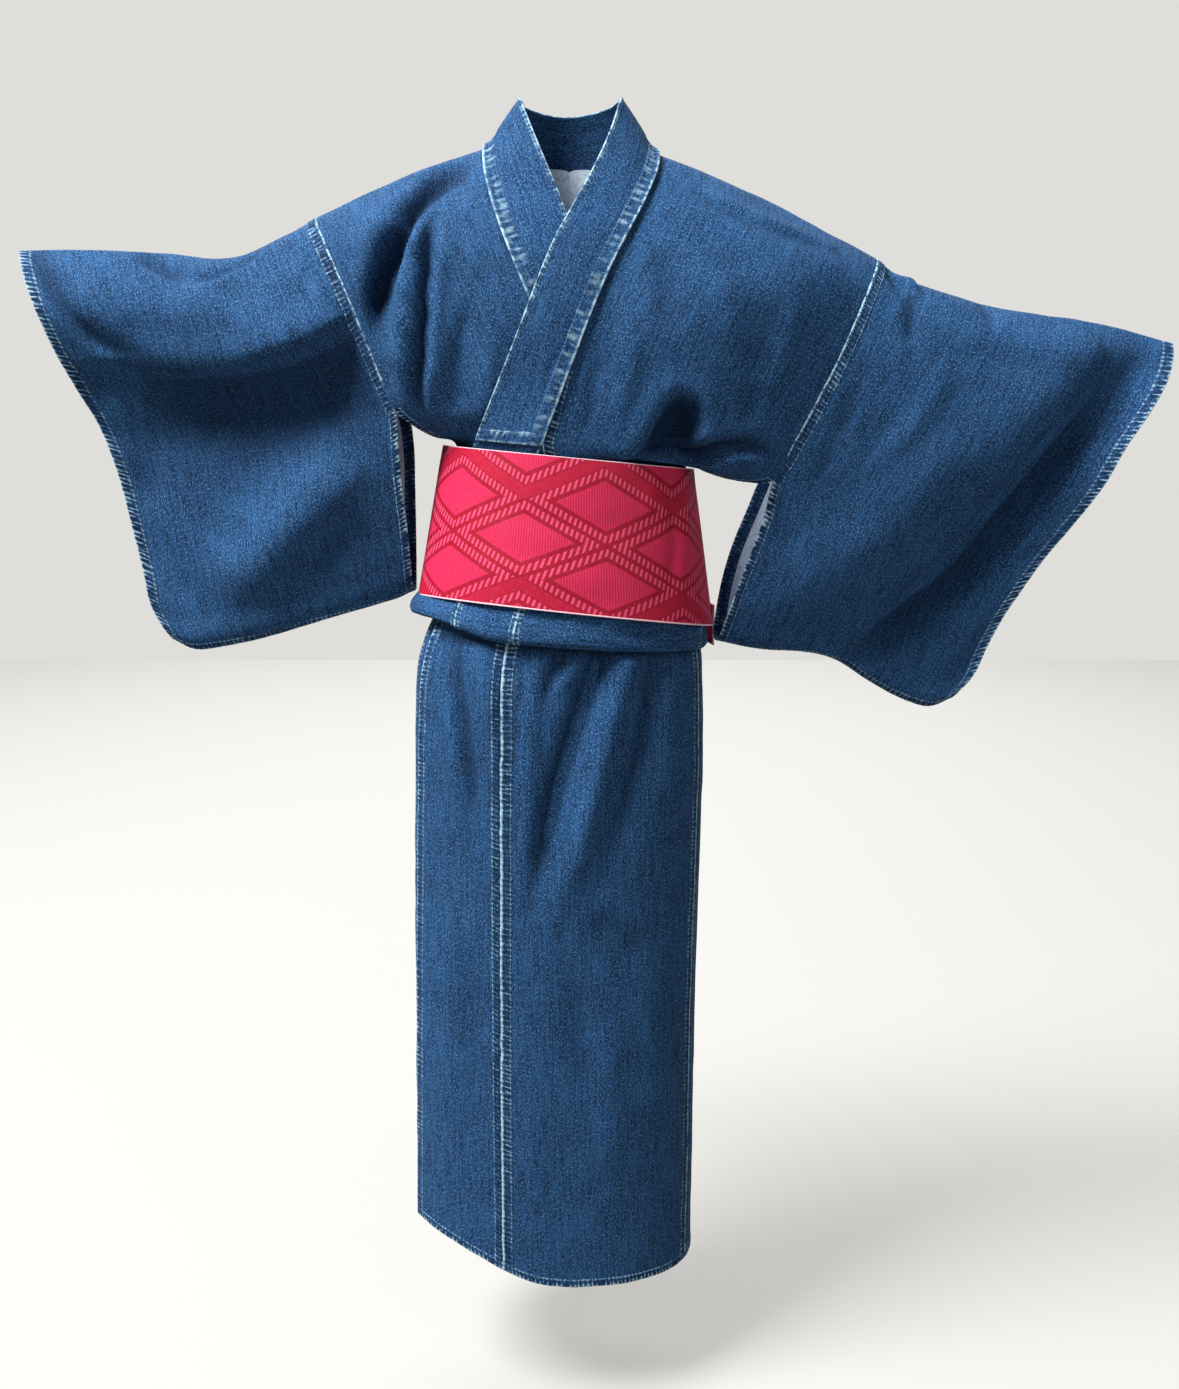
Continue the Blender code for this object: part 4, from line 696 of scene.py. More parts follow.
# outlines in cm from the middle of the shoulders; "half" is half the depth, "back" how far the rear layer draws
# in; bends carry both layers to the back (+) or to the front (-) together
sleeves = {
    "left": {
        "swing": 2.6, "middle": 0.012, "seed": 3, "cut": (0.46, 0.94),
        "hole": table("x z half", """
        33.9 -10 0, 33.5 -10.9 2.6, 32.4 -13.2 4.9, 30.8 -16.9 6.1, 28.9 -21.2 6.5, 26.8 -25.4 6.5, 24.4 -30 6.3,
        22.4 -33.8 5.9"""),
        "free": table("x z half back", """
        21.6 -37.6 5.4 .8, 20.4 -41.4 4.8 1.2, 19.1 -45.2 4 1.1, 17.9 -49 3 .7, 17.1 -51.6 1.6 .3"""),
        "top": rowsOf("33.9 -10, 36.4 -11.8, 41.7 -13.6, 47.4 -15.2, 58.5 -16.9, 67 -19"),
        "outer": rowsOf("""
        67 -19, 65.6 -23.6, 61.6 -30.3, 58.7 -36.4, 55.2 -41.4, 51.7 -47.2, 48.8 -53, 47.2 -56.8, 45 -59.2"""),
        "bottom": rowsOf("16.9 -52, 21.5 -52.9, 27 -53.3, 31 -54.4, 35 -57, 39.2 -59.3, 42.4 -60.2, 45 -59.2"),
        "folds": rowsOf("62 -23 31 -55 3.6 -1.7, 55 -21 26 -46 5 .9, 64 -27 47 -56 3.5 .7"),
        "creases": creasesOf("""
        59.8 -22.6, 55 -30.4, 51.6 -35.4, 48.4 -39.7, 45 -44.4, 40 -48.5, 35.4 -51.9, 31 -55.5: 1.8 .7 -1.25;
        57.5 -20, 53.9 -25.2, 49.4 -30.4, 45.2 -36.4, 41 -41.8, 35.7 -46.6, 30 -50.2: 1.05 3.4 1.05; 59.6 -26.5,
        55 -33, 51.3 -38.7, 46.3 -46.1, 41.7 -50.9: 2.2 1.2 .38; 34.6 -10.2, 34.8 -11.4, 35.7 -13, 37.1 -13.6:
        .5 .5 -.7; 36 -10.4, 36.6 -11.6, 37.6 -12.8, 38.1 -14.4: .4 .5 .6; 38.1 -12.4, 38 -13.6, 37.2 -15.7,
        36.6 -20.2: .9 .9 -.5; 44.8 -12.8, 45 -13.8, 45.9 -15.5, 46.2 -18.6: .6 .7 -.5; 40.5 -15, 45.7 -18,
        53.4 -19.6, 61 -20.4: 1.6 1.8 .34; 31.5 -22.2, 29.6 -28.5, 26.5 -36.1: .9 1.4 -.32; 42 -20.5, 37.6 -27.6,
        32 -33.4: 1.5 1.2 .3; 50.8 -49.4, 47.3 -55, 43.9 -58.5: 1.5 1.5 -.4"""),
        "bends": creasesOf("""
        59.6 -24, 55 -30.4, 51.6 -35.4, 48.4 -39.7, 45 -44.4, 40 -48.5, 34.5 -52.6, 29.2 -57: 3 .95 1.8; 46 -27,
        41 -34, 34.7 -41, 27 -45: 4 4 -.8; 52.8 -46, 48 -53, 43.9 -59.5: 2 2.4 .6"""),
        "backCreases": creasesOf("""
        60 -24, 52 -35, 44 -46, 38 -53: 1.6 2.2 .55; 50 -20, 42 -31, 34 -40: 1.4 1.4 -.4; 36 -16, 42 -20, 52 -23:
        1.8 1.5 .4""")},
    "right": {
        "swing": 0.8, "middle": 0.002, "seed": 4, "cut": (0.43, 0.88),
        "hole": table("x z half", """
        -27.4 -5.6 0, -27.1 -6.5 2.6, -26 -8.6 4.8, -24.5 -11.9 6, -22.9 -15.6 6.4, -21.5 -19.2 6.4,
        -20.1 -22.8 6.2, -18.7 -26.3 5.8"""),
        "free": table("x z half back", """
        -18.5 -30.4 5.2 .4, -18.3 -34.4 4.6 .3, -18 -38.4 3.8 .1, -17.8 -42.4 2.8 0, -17.7 -45.6 1.5 0"""),
        "top": rowsOf("-27.4 -5.6, -31.7 -7.9, -36.9 -9.9, -43.5 -9.5, -51.5 -9, -60.2 -9.1"),
        "outer": rowsOf("""
        -60.2 -9.1, -58.4 -13.5, -56.4 -19, -54.3 -24.4, -51.9 -29.8, -50.3 -36.4, -48.9 -43.5, -47.7 -49,
        -45.7 -52"""),
        "bottom": rowsOf("""
        -17.6 -46.2, -21.5 -47.7, -27 -49.3, -33 -51.1, -38.5 -52.5, -43.2 -53.1, -45.7 -52"""),
        "folds": rowsOf("-53 -15.5 -31 -18 3.8 1.4, -52 -26 -27 -25 5 -1.2, -26 -30 -37 -44 3.2 .9"),
        "creases": creasesOf("""
        -56 -21.2, -53.3 -20.9, -49.4 -20.7, -47.1 -21, -42.9 -21.1, -36.4 -21, -31.6 -19.8, -27.2 -18.5,
        -23.6 -16.5, -19.5 -14, -16 -11: 2.8 .5 1.3; -59.5 -7, -56.6 -12, -54.6 -15.6, -52.1 -18.4, -49.4 -19.9,
        -46 -21, -42 -21.3: 1.2 .8 -.85; -52 -23, -46.1 -23.5, -40.5 -23.8, -35.5 -23.6, -29.3 -22.6, -23.7 -19.8,
        -18.5 -15.8, -15 -12: .9 8.5 -.95; -52.1 -20.8, -50.1 -21, -46.5 -21.4, -42 -21.6, -38.5 -21.7:
        .35 .6 -.45; -47.5 -9.6, -45.3 -10.6, -43 -11.8, -40.5 -12.7: 1 .7 -.75; -40.4 -12.9, -37.8 -12,
        -35.2 -10.6, -33 -9: .7 .45 -.6; -40 -13.7, -37.4 -12.9, -34.6 -11.6: .5 .9 .38; -24.6 -9.7, -26 -13.4,
        -27.6 -16.5: 1.4 .9 .3; -37.6 -47.6, -36.6 -46.4, -31.2 -40.3, -26.2 -35.9, -20.9 -30.4: 3.6 2.6 .9;
        -49.3 -34.8, -44 -41.2, -37.3 -46.6: 2.6 2.2 .34; -53 -28.2, -49.5 -25.8, -45.4 -25.2: 1.6 2.2 .2;
        -49.2 -26.8, -47.6 -33, -46.8 -38.6: 1.4 1.6 -.26; -29.5 -44.5, -26 -40, -22 -35.5: 1.6 2.4 -.4"""),
        "bends": creasesOf("""
        -52 -26, -43.1 -25.6, -36.5 -25, -28 -23.5, -20 -19: 2.2 9.5 .95; -39.6 -49.4, -31.2 -40.3, -26.2 -35.9,
        -21.9 -31.4: 3.8 3.4 -.9; -51.6 -30, -48.6 -38, -46.4 -48: 2.6 2 .5"""),
        "backCreases": creasesOf("""
        -55 -14, -47 -19, -38 -20.6, -29 -18: 3 1.4 .6; -26 -24, -33 -33, -42 -41: 1.8 2.2 .5; -45 -28, -39 -36,
        -30 -42: 1.6 1.4 -.35""")},
}
cuffHalf = table("down half", "0 0, .03 1.7, .09 2.9, .2 3.1, .36 2, .5 .8, .6 .45, 1 .45")


def sleeveCoarse(sleeve):
    # a loop round the arm carried from the seam to the outer edge: a Coons patch of its four outlines
    hole, free = sleeve["hole"], sleeve["free"]
    x, z = (np.r_[hole[name], free[name], end] * cm for name, end in zip("xz", sleeve["bottom"][0]))
    depth = np.r_[hole["half"], free["half"], 0.0] * cm
    shift = np.r_[0 * hole["x"], free["back"], 0.0] * cm
    down = np.r_[0.0, np.cumsum(np.hypot(np.diff(x), np.diff(z)))]
    down = down / down[-1]
    u = np.linspace(0.0, 1.0, 12)
    top, bottom = (smoothCurve(sleeve[name] * cm, u) for name in ("top", "bottom"))
    outer, inner = smoothCurve(sleeve["outer"] * cm, down), np.stack([x, z], axis=1)
    v, w = down[:, None, None], u[None, :, None]
    flat = ((1 - v) * top[None] + v * bottom[None] + (1 - w) * inner[:, None] + w * outer[:, None]
            - (1 - v) * ((1 - w) * top[0] + w * top[-1]) - v * ((1 - w) * bottom[0] + w * bottom[-1]))
    cuff = np.interp(down, cuffHalf["down"], cuffHalf["half"] * cm)
    cuff[-1] = 0.0
    mix = smoothStep(u * 1.05)[None, :]
    half = (1 - mix) * depth[:, None] + mix * cuff[:, None]
    across, height = flat[..., 0], flat[..., 1]
    inside = smoothStep(down / 0.10)[:, None] * smoothStep(u / 0.12)[None, :]
    raised = foldHeight(across, height, sleeve["folds"]) * inside * smoothStep((1 - down) / 0.15)[:, None]
    swing = smoothStep((down[:, None] - 0.25) / 0.6) * smoothStep((u[None, :] - 0.35) / 0.5) * sleeve["swing"] * cm
    front = np.stack([across, swing - half - raised, height], axis=2)
    back = np.stack([across - np.sign(across) * shift[:, None] * (1 - u)[None, :], swing + half + 0.35 * raised,
                     height], axis=2)
    return np.concatenate([front[::-1], back[1:-1]])


for side, sleeve in sleeves.items():
    panel = makePanel(sleeveCoarse(sleeve), True, sleeve["middle"], 0.0040)
    grid = panel["grid"]
    room = np.abs(grid[-np.arange(len(grid)), :, 1] - grid[..., 1])     # to the layer across
    fromSeam = fromFirstColumn(grid)
    weight = smoothStep(fromSeam / 0.025) * smoothStep((fromSeam[:, -1:] - fromSeam) / 0.018 + 0.25)
    grid[..., 1] += creaseHeight(grid, sleeve["bends"]) * smoothStep(fromSeam / 0.07)
    panel["normals"] = outwardNormals(grid, True, sleeve["middle"])
    dress(panel, sleeve["creases"], sleeve["backCreases"], 0.0011, sleeve["seed"], weight, room)
    addPiece("sleeve" + side.title(), panel, ("sleeve_" + side + "_front", "sleeve_" + side + "_back"), denimCloth,
             edges=[("first", "felled", (6, 20)), ("first", "hem", (0, 6)), ("first", "hem", (20, 26)),
                    ("last", "cuffHem", (0, 26)), ("start", "edgeSeam", (0, 5))])
print("sleeves made")

# the body above the waist: rows run from the front's waist over the shoulder to the back's
shoulderRow, neckBackRow, lastRow = 12, 16, 24
centreBack = """
    17 0 8.9 -4.4 0 0 0, 18 0 9.9 -9.5 0 0 0, 20 0 10.8 -20 0 0 0, 22 0 11 -31.6 0 0 0, 23 0 11.7 -38.5 0 0 0,
    24 0 12.3 -46 0 0 0"""
bodies = {
    "left": {
        "swell": 1.0, "seed": 7, "cut": (0.34, 1.08),
        "neck": table("row x y z freeX freeY freeZ", """
        0 -9.5 -9.56 -45.2 -14 -4.9 -44.9, 1 -6.7 -10.2 -38.5 -11.9 -6.5 -38, 2 -4.1 -10.4 -31.4 -10.3 -7 -31,
        3 -3.6 -10.9 -30.3 -9.8 -7.7 -29.8, 5 -.7 -11.6 -22.9 -5.7 -11.3 -20.4, 8 3.9 -10.9 -11.8 -1.1 -10.6 -9.2,
        10 7.3 -8 -5.2 2.4 -8 -2.7, 11 8.7 -5 -1.6 4.3 -5.6 1.8, 12 8.9 -.6 1.2 5.4 -1.9 6,
        13 8.2 3 1.4 5.3 1.4 6.5, 14 6.3 5.6 1.2 4.3 3.9 6.4, 15 3.4 7.3 .9 2.4 5.6 6.3, 16 0 7.9 .7 0 6.2 6.2,
        """ + centreBack),
        "side": table("x half z", """
        15.3 .04 -47.2, 14.2 .04 -38.5, 13.3 .9 -31.9, 15.9 3.6 -33, 19.2 5.1 -33.9"""),
        "folds": rowsOf("""
        11.4 -27.5 12.6 -32 2.2 -.9, 14.5 -29.6 21 -30.4 1.2 .6, 14 -4 28 -10 1.6 -.4, 9 -18 27 -13 4 .4"""),
        "creases": creasesOf("""
        12.7 -3.4, 15 -4.2, 16.9 -5, 19.7 -6.4, 23.2 -7.6, 27.8 -9: .9 .35 .26; 12.9 -3.9, 15.2 -4.7, 17 -5.5,
        19.8 -6.9, 23.3 -8.1, 27.9 -9.5, 30 -10.6: .35 1.1 -.34; 12.4 -24, 12 -26.2, 11.4 -28.8, 11.1 -31.6,
        11.4 -37.5: 1.8 1.7 -2; 12 -26.6, 9.7 -29.6, 7.6 -32.6, 5 -36: 1.4 1 -1; 7.6 -34.2, 11.2 -32.8,
        13.9 -31.5, 16 -30.6, 18 -30.1, 20.4 -30.3, 22.6 -31.8: .75 .85 -1.35; 13 -34, 15.7 -32.5, 18.2 -31.5,
        20.3 -31.7, 21.9 -32.4: .5 1 .6; 6.2 -32.5, 8.2 -28.6, 10.1 -25.6, 12.2 -24.4, 14.4 -25.8, 16.4 -29:
        1.9 .7 .7; 6.7 -17.3, 6.7 -21, 6 -25, 5.4 -28.7: 1.1 1.2 .34; 10 -9, 10.1 -13.3, 11.5 -19.8: 1.5 1.5 -.34;
        19.8 -23.1, 19.4 -26.5, 19.9 -28.5: 1 1 -.34; 3.2 -20.5, 2.6 -25, 2 -30: .9 .8 -.24; 24.5 -14, 23 -20,
        20.6 -27: 1.2 1.3 .3; 14.8 -11, 17 -17, 18.4 -22: 1.8 1.6 .26"""),
        "backCreases": creasesOf("""
        26 -14, 17 -20, 8 -29: 1.8 1.5 .35; 22 -25, 14 -28, 5 -31.5: 1.3 1.2 .26; 20 -10, 13 -18, 6 -28:
        1.1 1.3 -.25""")},
    "right": {
        "swell": 0.6, "seed": 8, "cut": (0.29, 1.06),
        "neck": table("row x y z freeX freeY freeZ", """
        0 9.5 -8.4 -46.7 13.2 -4.3 -47, 1 6.7 -9.16 -38.5 11.3 -5.5 -38.5, 2 4.1 -9.35 -31.8 9.5 -6.4 -31.4,
        5 .3 -10.2 -22.9 5.1 -9.8 -20.7, 8 -4.4 -9.5 -12.2 1.1 -9 -9.7, 10 -7 -7.2 -5.5 -1.4 -6.9 -3.2,
        11 -8 -4.6 -1.5 -3.2 -5.2 1.4, 12 -8.2 -.6 1.7 -4.8 -1.9 5.9, 13 -7.6 3 1.8 -4.9 1.4 6.3,
        14 -6 5.6 1.4 -4.2 3.9 6.3, 15 -3.3 7.3 1 -2.3 5.6 6.2, 16 0 7.9 .7 0 6.2 6.2,
        """ + centreBack),
        "side": table("x half z", """
        -14.4 .04 -44.8, -13.3 .04 -38.5, -12.9 .9 -29.4, -14.6 3 -29.1, -16.6 5.1 -28"""),
        "folds": rowsOf("""
        -12 -3 -18.6 -12.5 1.7 -.9, -18.6 -12.5 -19.6 -21.5 1.7 -1.1, -15.6 -5 -16.6 -22 1.8 .9,
        -11.5 -12 -12 -24 2.2 -.5"""),
        "creases": creasesOf("""
        -9.3 -.7, -12.2 -1.9, -14.7 -3.5, -16 -5.1, -17.6 -8.5, -18.5 -10.9, -19.4 -12.9, -20.3 -15.8,
        -20.8 -18.3, -21 -22.5: 1.1 1.2 -2.1; -13.8 -4.4, -15.6 -8.2, -16.5 -11.8, -17.1 -16.7, -17.4 -20.8,
        -17.6 -26: .8 1.2 .8; -13.6 -4.6, -14.1 -8.6, -14.4 -12.7, -14.7 -16.7, -15.2 -20.8, -15.7 -24.5,
        -15.4 -26.6, -14.1 -28.5: .65 .9 -1.35; -12.8 -4.6, -13.3 -8.6, -13.7 -12.7, -13.9 -16.7, -14.4 -20.8,
        -14.9 -24.5, -14.6 -26.4, -13.2 -28.1: 2.4 .7 .75; -15.8 -1.9, -18.4 -5.3, -20.8 -8.6, -21.6 -12.3:
        1.2 1.5 .35; -22.8 -13.9, -21.9 -18, -20.9 -22.2, -19.6 -25.3: 1 .8 .25; -8.8 -7.4, -10.9 -15.3,
        -12.9 -24.4: 1.5 1.3 .3; -9.6 -14, -11.4 -21, -12.2 -28: .8 .9 -.3; -6.4 -16, -8.4 -23, -9.6 -29.5:
        .8 1.1 .22"""),
        "backCreases": creasesOf("""
        -21 -9, -14 -17, -7 -27: 1.6 2 .35; -18 -22, -12 -26, -5 -31: 1.2 1.4 .28; -24 -12, -18 -19, -11 -27:
        1 1.2 -.25""")},
}
fullness = table("row wrap swell rise", """
    0 1 0 0, 2 1 0 0, 4 .72 .6 0, 6 .42 1.4 0, 8 .22 1.9 0, 10 .08 1.5 .2, 12 0 .2 .6, 14 0 .8 .3, 16 .08 1.2 0,
    18 .25 1.2 0, 20 .62 .7 0, 22 1 0 0, 24 1 0 0""")
okumiWidth = np.array([4.5, 2.9, 1.6, 1.0, 0.45]) * cm
tuckTop, tuckSlope = -0.460, 0.080
allRows = np.arange(lastRow + 1)


def bodyEdges(side):
    # the outlines of a half: where the collar is sewn, the side with the armhole, and the collar's free edge
    neck, free = (np.stack([throughRows(bodies[side]["neck"], name, allRows) for name in names], axis=1) * cm
                  for names in ("xyz", ("freeX", "freeY", "freeZ")))
    neck[neckBackRow:, 0] = 0.0

    def outline(values, turn):
        return np.stack([values["x"], turn * values["half"], values["z"]], axis=1) * cm

    hole, low = sleeves[side]["hole"], bodies[side]["side"]
    edge = np.vstack([outline(low, -1), outline(hole, -1)[::-1], outline(hole, 1)[1:], outline(low, 1)[::-1]])
    return neck, edge, free


def bodyPoint(side, u):
    # each row runs from the collar seam to the side: part chord, part ellipse about the figure's middle
    neck, edge, _ = bodyEdges(side)
    u = np.broadcast_to(u, (len(allRows), u.shape[-1]))
    chord = neck[:, None] * (1 - u[..., None]) + edge[:, None] * u[..., None]
    depth = neck[:, 1:2]
    for step in range(6):       # the ellipse that meets both ends, found by turns
        end = np.arccos(np.clip(edge[:, 1:2] / depth, 0.0, 0.95))
        reach = edge[:, 0:1] / np.sin(end)
        start = np.arcsin(np.clip(neck[:, 0:1] / reach, -0.95, 0.95))
        depth = neck[:, 1:2] / np.cos(start)
    turn = start + (end - start) * u
    wrap, swell, rise = (throughRows(fullness, name, allRows)[:, None] for name in ("wrap", "swell", "rise"))
    facing = np.clip((allRows - shoulderRow) / 2.0, -1.0, 1.0)[:, None]
    grid = chord.copy()
    grid[..., 0] += wrap * (reach * np.sin(turn) - chord[..., 0])
    grid[..., 1] += wrap * (depth * np.cos(turn) - chord[..., 1])
    grid[..., 1] += facing * swell * bodies[side]["swell"] * cm * np.sin(math.pi * u)
    grid[..., 2] += rise * cm * np.sin(math.pi * u)
    flat = smoothStep(u / 0.15) * smoothStep((1 - u) / 0.30) * (allRows < shoulderRow)[:, None]
    low = smoothStep((allRows[:, None] - 1.0) / 2.0)
    grid[..., 1] -= foldHeight(grid[..., 0], grid[..., 2], bodies[side]["folds"]) * flat * low
    grid[[0, -1], :, 2] = tuckTop - tuckSlope * grid[[0, -1], :, 0]
    return grid


def nearWeight(grid, column, away, reach):
    # 0 up to a distance from one edge of every row, 1 from the reach on
    gap = np.linalg.norm(grid - grid[:, column][:, None], axis=2)
    return smoothStep((gap - away) / reach)


for side, body in bodies.items():
    neck, edge, _ = bodyEdges(side)
    width = np.r_[okumiWidth, np.zeros(len(allRows) - len(okumiWidth))]
    share = (width / np.linalg.norm(edge - neck, axis=1))[:, None]      # of each row, for the overlap panel
    panel = makePanel(bodyPoint(side, share + (1 - share) * np.linspace(0.0, 1.0, 11)[None, :]), step=0.0039)
    grid = panel["grid"]
    front = (panel["rows"] < neckBackRow - 1)[:, None]
    byCollar = np.where(front, nearWeight(grid, 0, 0.010, 0.025), nearWeight(grid, 0, 0.0, 0.02))
    # 0 under the belt's upper edge, 1 from 16 mm over it
    aboveObi = smoothStep((grid[..., 2] + 0.324 + 0.094 * grid[..., 0]) / 0.016)
    dress(panel, body["creases"], body["backCreases"], 0.0009, body["seed"],
          byCollar * nearWeight(grid, -1, 0.0, 0.028) * aboveObi)
    panel["normals"][panel["rows"] >= neckBackRow, 0, 0] = 0.0
    panel["normals"] = unit(panel["normals"])
    edges = [("last", "hem", (1.4, 5)), ("last", "hem", (19, 22.6))]
    if side == "left":
        edges += [("first", "centre", (16, 24)), ("first", "felled", (0, 5.2))]
    addPiece("body" + side.title(), panel, ("body_" + side + "_front", "body_" + side + "_back"), denimCloth,
             edges=edges)
    strip = makePanel(bodyPoint(side, share * np.linspace(0.0, 1.0, 3)[None, :])[:len(okumiWidth)],
                      acrossStep=0.005)
    dress(strip, noise=0.0003, seed=9)
    addPiece("okumi" + side.title() + "Top", strip, ("okumi_" + side + "_upper",), denimCloth)
print("body made")


# m: how far it laps over the body, its height over the cloth, what is added to that behind the shoulders, how far
# its middle stands out, and the height of the over-collar above it
collar = {"lap": 0.007, "gap": 0.0005, "backGap": 0.0012, "belly": 0.0012, "overGap": 0.0025}


def collarHalf(side):
    # five lines: the lap over the body, the seam, two on the way and the free edge
    neck, edge, free = bodyEdges(side)
    lap = (collar["lap"] / np.linalg.norm(edge - neck, axis=1))[:, None]
    strip = bodyPoint(side, lap * np.array([[0.0, 1.0, 2.0]]))
    normals = crossNormals(strip) * (-1.0 if side == "left" else 1.0)
    lift = cadWall + collar["gap"] + collar["backGap"] * smoothStep((allRows - shoulderRow) / 3.0)[:, None]
    lapped, seam = (strip[:, k] + normals[:, k] * lift for k in (1, 0))
    free = free + normals[:, 0] * lift
    onTheWay = [seam + (free - seam) * k / 3 + normals[:, 0] * collar["belly"] for k in (1, 2)]
    return np.stack([lapped, seam, *onTheWay, free], axis=1)[:neckBackRow + 1]


collarLeft, collarRight = collarHalf("left"), collarHalf("right")
collarMiddle = (collarLeft[-1:] + collarRight[-1:]) / 2
collarMiddle[..., 0] = 0.0
collarCoarse = np.concatenate([collarLeft[:-1], collarMiddle, collarRight[-2::-1]])
collarPanel = makePanel(collarCoarse, middle=-0.02, step=0.005)
overStart, overEnd = 3, len(collarCoarse) - 4       # coarse rows between which the over-collar lies
inSpan = (collarPanel["rows"] >= overStart - 0.02) & (collarPanel["rows"] <= overEnd + 0.02)
overPanel = dict(collarPanel, grid=(collarPanel["grid"] + collarPanel["normals"] * collar["overGap"])[inSpan],
                 normals=collarPanel["normals"][inSpan], rows=collarPanel["rows"][inSpan])
dress(collarPanel, noise=0.0002, seed=11)
dress(overPanel, noise=0.0005, seed=12)
addPiece("collarBase", collarPanel, ("collar",), collarCloth,
         edges=[("first", "collarSeam", (0, 3)), ("last", "fold", (0, 3)), ("first", "collarSeam", (29, 32))])
addPiece("overCollar", overPanel, ("over_collar",), collarCloth,
         edges=[("first", "collarSeam"), ("last", "fold"), ("start", "collarEnd"), ("end", "collarEnd")])
print("collar made")

# the skirt: one cloth wound round the hips; its seams: angle from the front at the top and at the hem, and the
# number of columns to the next one
skirt = {
    "edgeAngle": -62.0, "foldsEnd": 84.5, "power": 2.0 / 2.25, "turnInset": 0.009, "underTuck": 0.010,
    "hemZ": -1.262, "hemRise": 0.050, "hemSlope": 0.035,
    "sections": table("row centre halfWidth halfDepth", """
        44 .2 13.6 10.8, 47 -.2 14.6 11.2, 50 -.8 15.7 11.7, 54 -1.2 16.7 12.1, 60 -1.3 17.1 12.1,
        70 -1.5 17.2 12, 95 -1.9 17.2 11.8, 128 -2.2 17.2 11.6"""),
    "drops": rowsOf("0 .018 .036 .056 .09 .15 .24 .34 .45 .56 .68 .79")[0],
    "seams": rowsOf("-60 -67 6, -17.6 -15.9 10, 70 69 8, 180 180 8, 276 276 8, 374 374 5, 426 426 0"),
    "folds": rowsOf("11.2 -50 9 -74 4 .3, -8.4 -52 -9.2 -66 4 .3"),
    "creases": creasesOf("""
        4.9 -44, 3.9 -50, 3 -54, 1.7 -58.2, .4 -62.3, -.7 -65.7, -1.8 -70.3, -3 -75, -3.8 -80.5: .9 1.2 -1.35;
        7.4 -44, 6.7 -50, 5.8 -55.6, 4.9 -58.6, 4 -62.3, 3.3 -65.7, 2.2 -69.9, .9 -75, -1.6 -81.5: 1.7 1.4 1.05;
        -3 -44, -3.2 -50.5, -3.4 -55, -4.2 -62, -4.4 -70, -4.7 -80: 1.2 .8 .42; .2 -47, -.2 -50, -.8 -52.2,
        -1.7 -54.8, -2.8 -58.5: .75 .75 -.6; 2.9 -47, 2.3 -50.4, .9 -53.4, -.9 -55.4, -2.6 -58: .9 .75 .42;
        9.4 -44, 9 -52.5, 8.2 -60, 6.4 -68, 3.6 -77: 1.8 1 -.62; 12 -48, 11.8 -55, 11.6 -62, 11 -72: 1.6 1.4 .26;
        -12.2 -49, -11.9 -55, -10.8 -63, -9.8 -73: .7 1 -.75; -13.8 -49.5, -13.2 -55.5, -12.5 -62, -11.8 -73:
        .8 1.1 .36; -9.6 -47, -9.2 -51, -8.6 -55, -8.4 -62: .8 .7 .38; -14.2 -47.3, -13.9 -50.3, -13.6 -53,
        -12.9 -57: .5 .5 -.4; 2 -81, 5.4 -84.5, 9.6 -86.5: 1.8 2.4 -.34; .4 -87, 1.1 -95, 1.8 -104: 1.4 1.6 -.28;
        4.4 -93, 4.7 -104, 4.9 -114: 1.8 1.6 .3; 8.6 -84, 9.4 -97, 9.8 -110: 2 1.6 .22; -12.6 -80, -13.4 -92,
        -13.7 -106: 1.2 1 .24; -10.6 -84, -10.9 -96, -11.3 -108: 1.2 1.2 -.22; -4.4 -104, -4 -112, -4.4 -119:
        1 1.2 .16"""),
    "backCreases": creasesOf("""
        -6 -53, -5 -68, -6.5 -86: 1.6 1.2 .32; 5 -53, 6.5 -66, 5.5 -80: 1.2 1.5 .28; -11 -53, -11.5 -64,
        -10.5 -78: 1 1.4 .24; 10.5 -54, 10 -70, 11 -90: 1.4 1.4 .26; 1 -80, 2.4 -96, 1.5 -112: 2.2 1.8 .2"""),
}
hemEnd, flat = ("end", "hem"), ("last", "flatSide")
skirtPieces = [("okumiLeft", "okumi_left", 0.14, [("first", "wideHem"), flat, hemEnd]),
               ("frontLeft", "front_left", 0.27, [("first", "spread"), flat, hemEnd]),
               ("backLeft", "back_left", 0.25, [("first", "felled"), flat, hemEnd]),
               ("backRight", "back_right", 0.25, [("first", "felled"), flat, hemEnd]),
               ("frontRight", "front_right", 0.25, [("first", "felled"), hemEnd]),
               ("okumiRight", "okumi_right", 0.14, [hemEnd, ("last", "hem")])]


def skirtPoint(angle, height, outward=0.0):
    # a rounded rectangle's section; each whole turn from the outer edge lies further in by the same inset
    centre, halfWidth, halfDepth = (throughRows(skirt["sections"], name, -height / cm) * cm
                                    for name in ("centre", "halfWidth", "halfDepth"))
    inset = skirt["turnInset"] * (angle - skirt["edgeAngle"]) / 360.0 - outward
    turn = np.radians(angle)
    x, y = (np.sign(value) * np.abs(value) ** skirt["power"] for value in (np.sin(turn), -np.cos(turn)))
    return np.stack([centre + (halfWidth - inset) * x, (halfDepth - inset) * y, height + 0 * x], axis=-1)


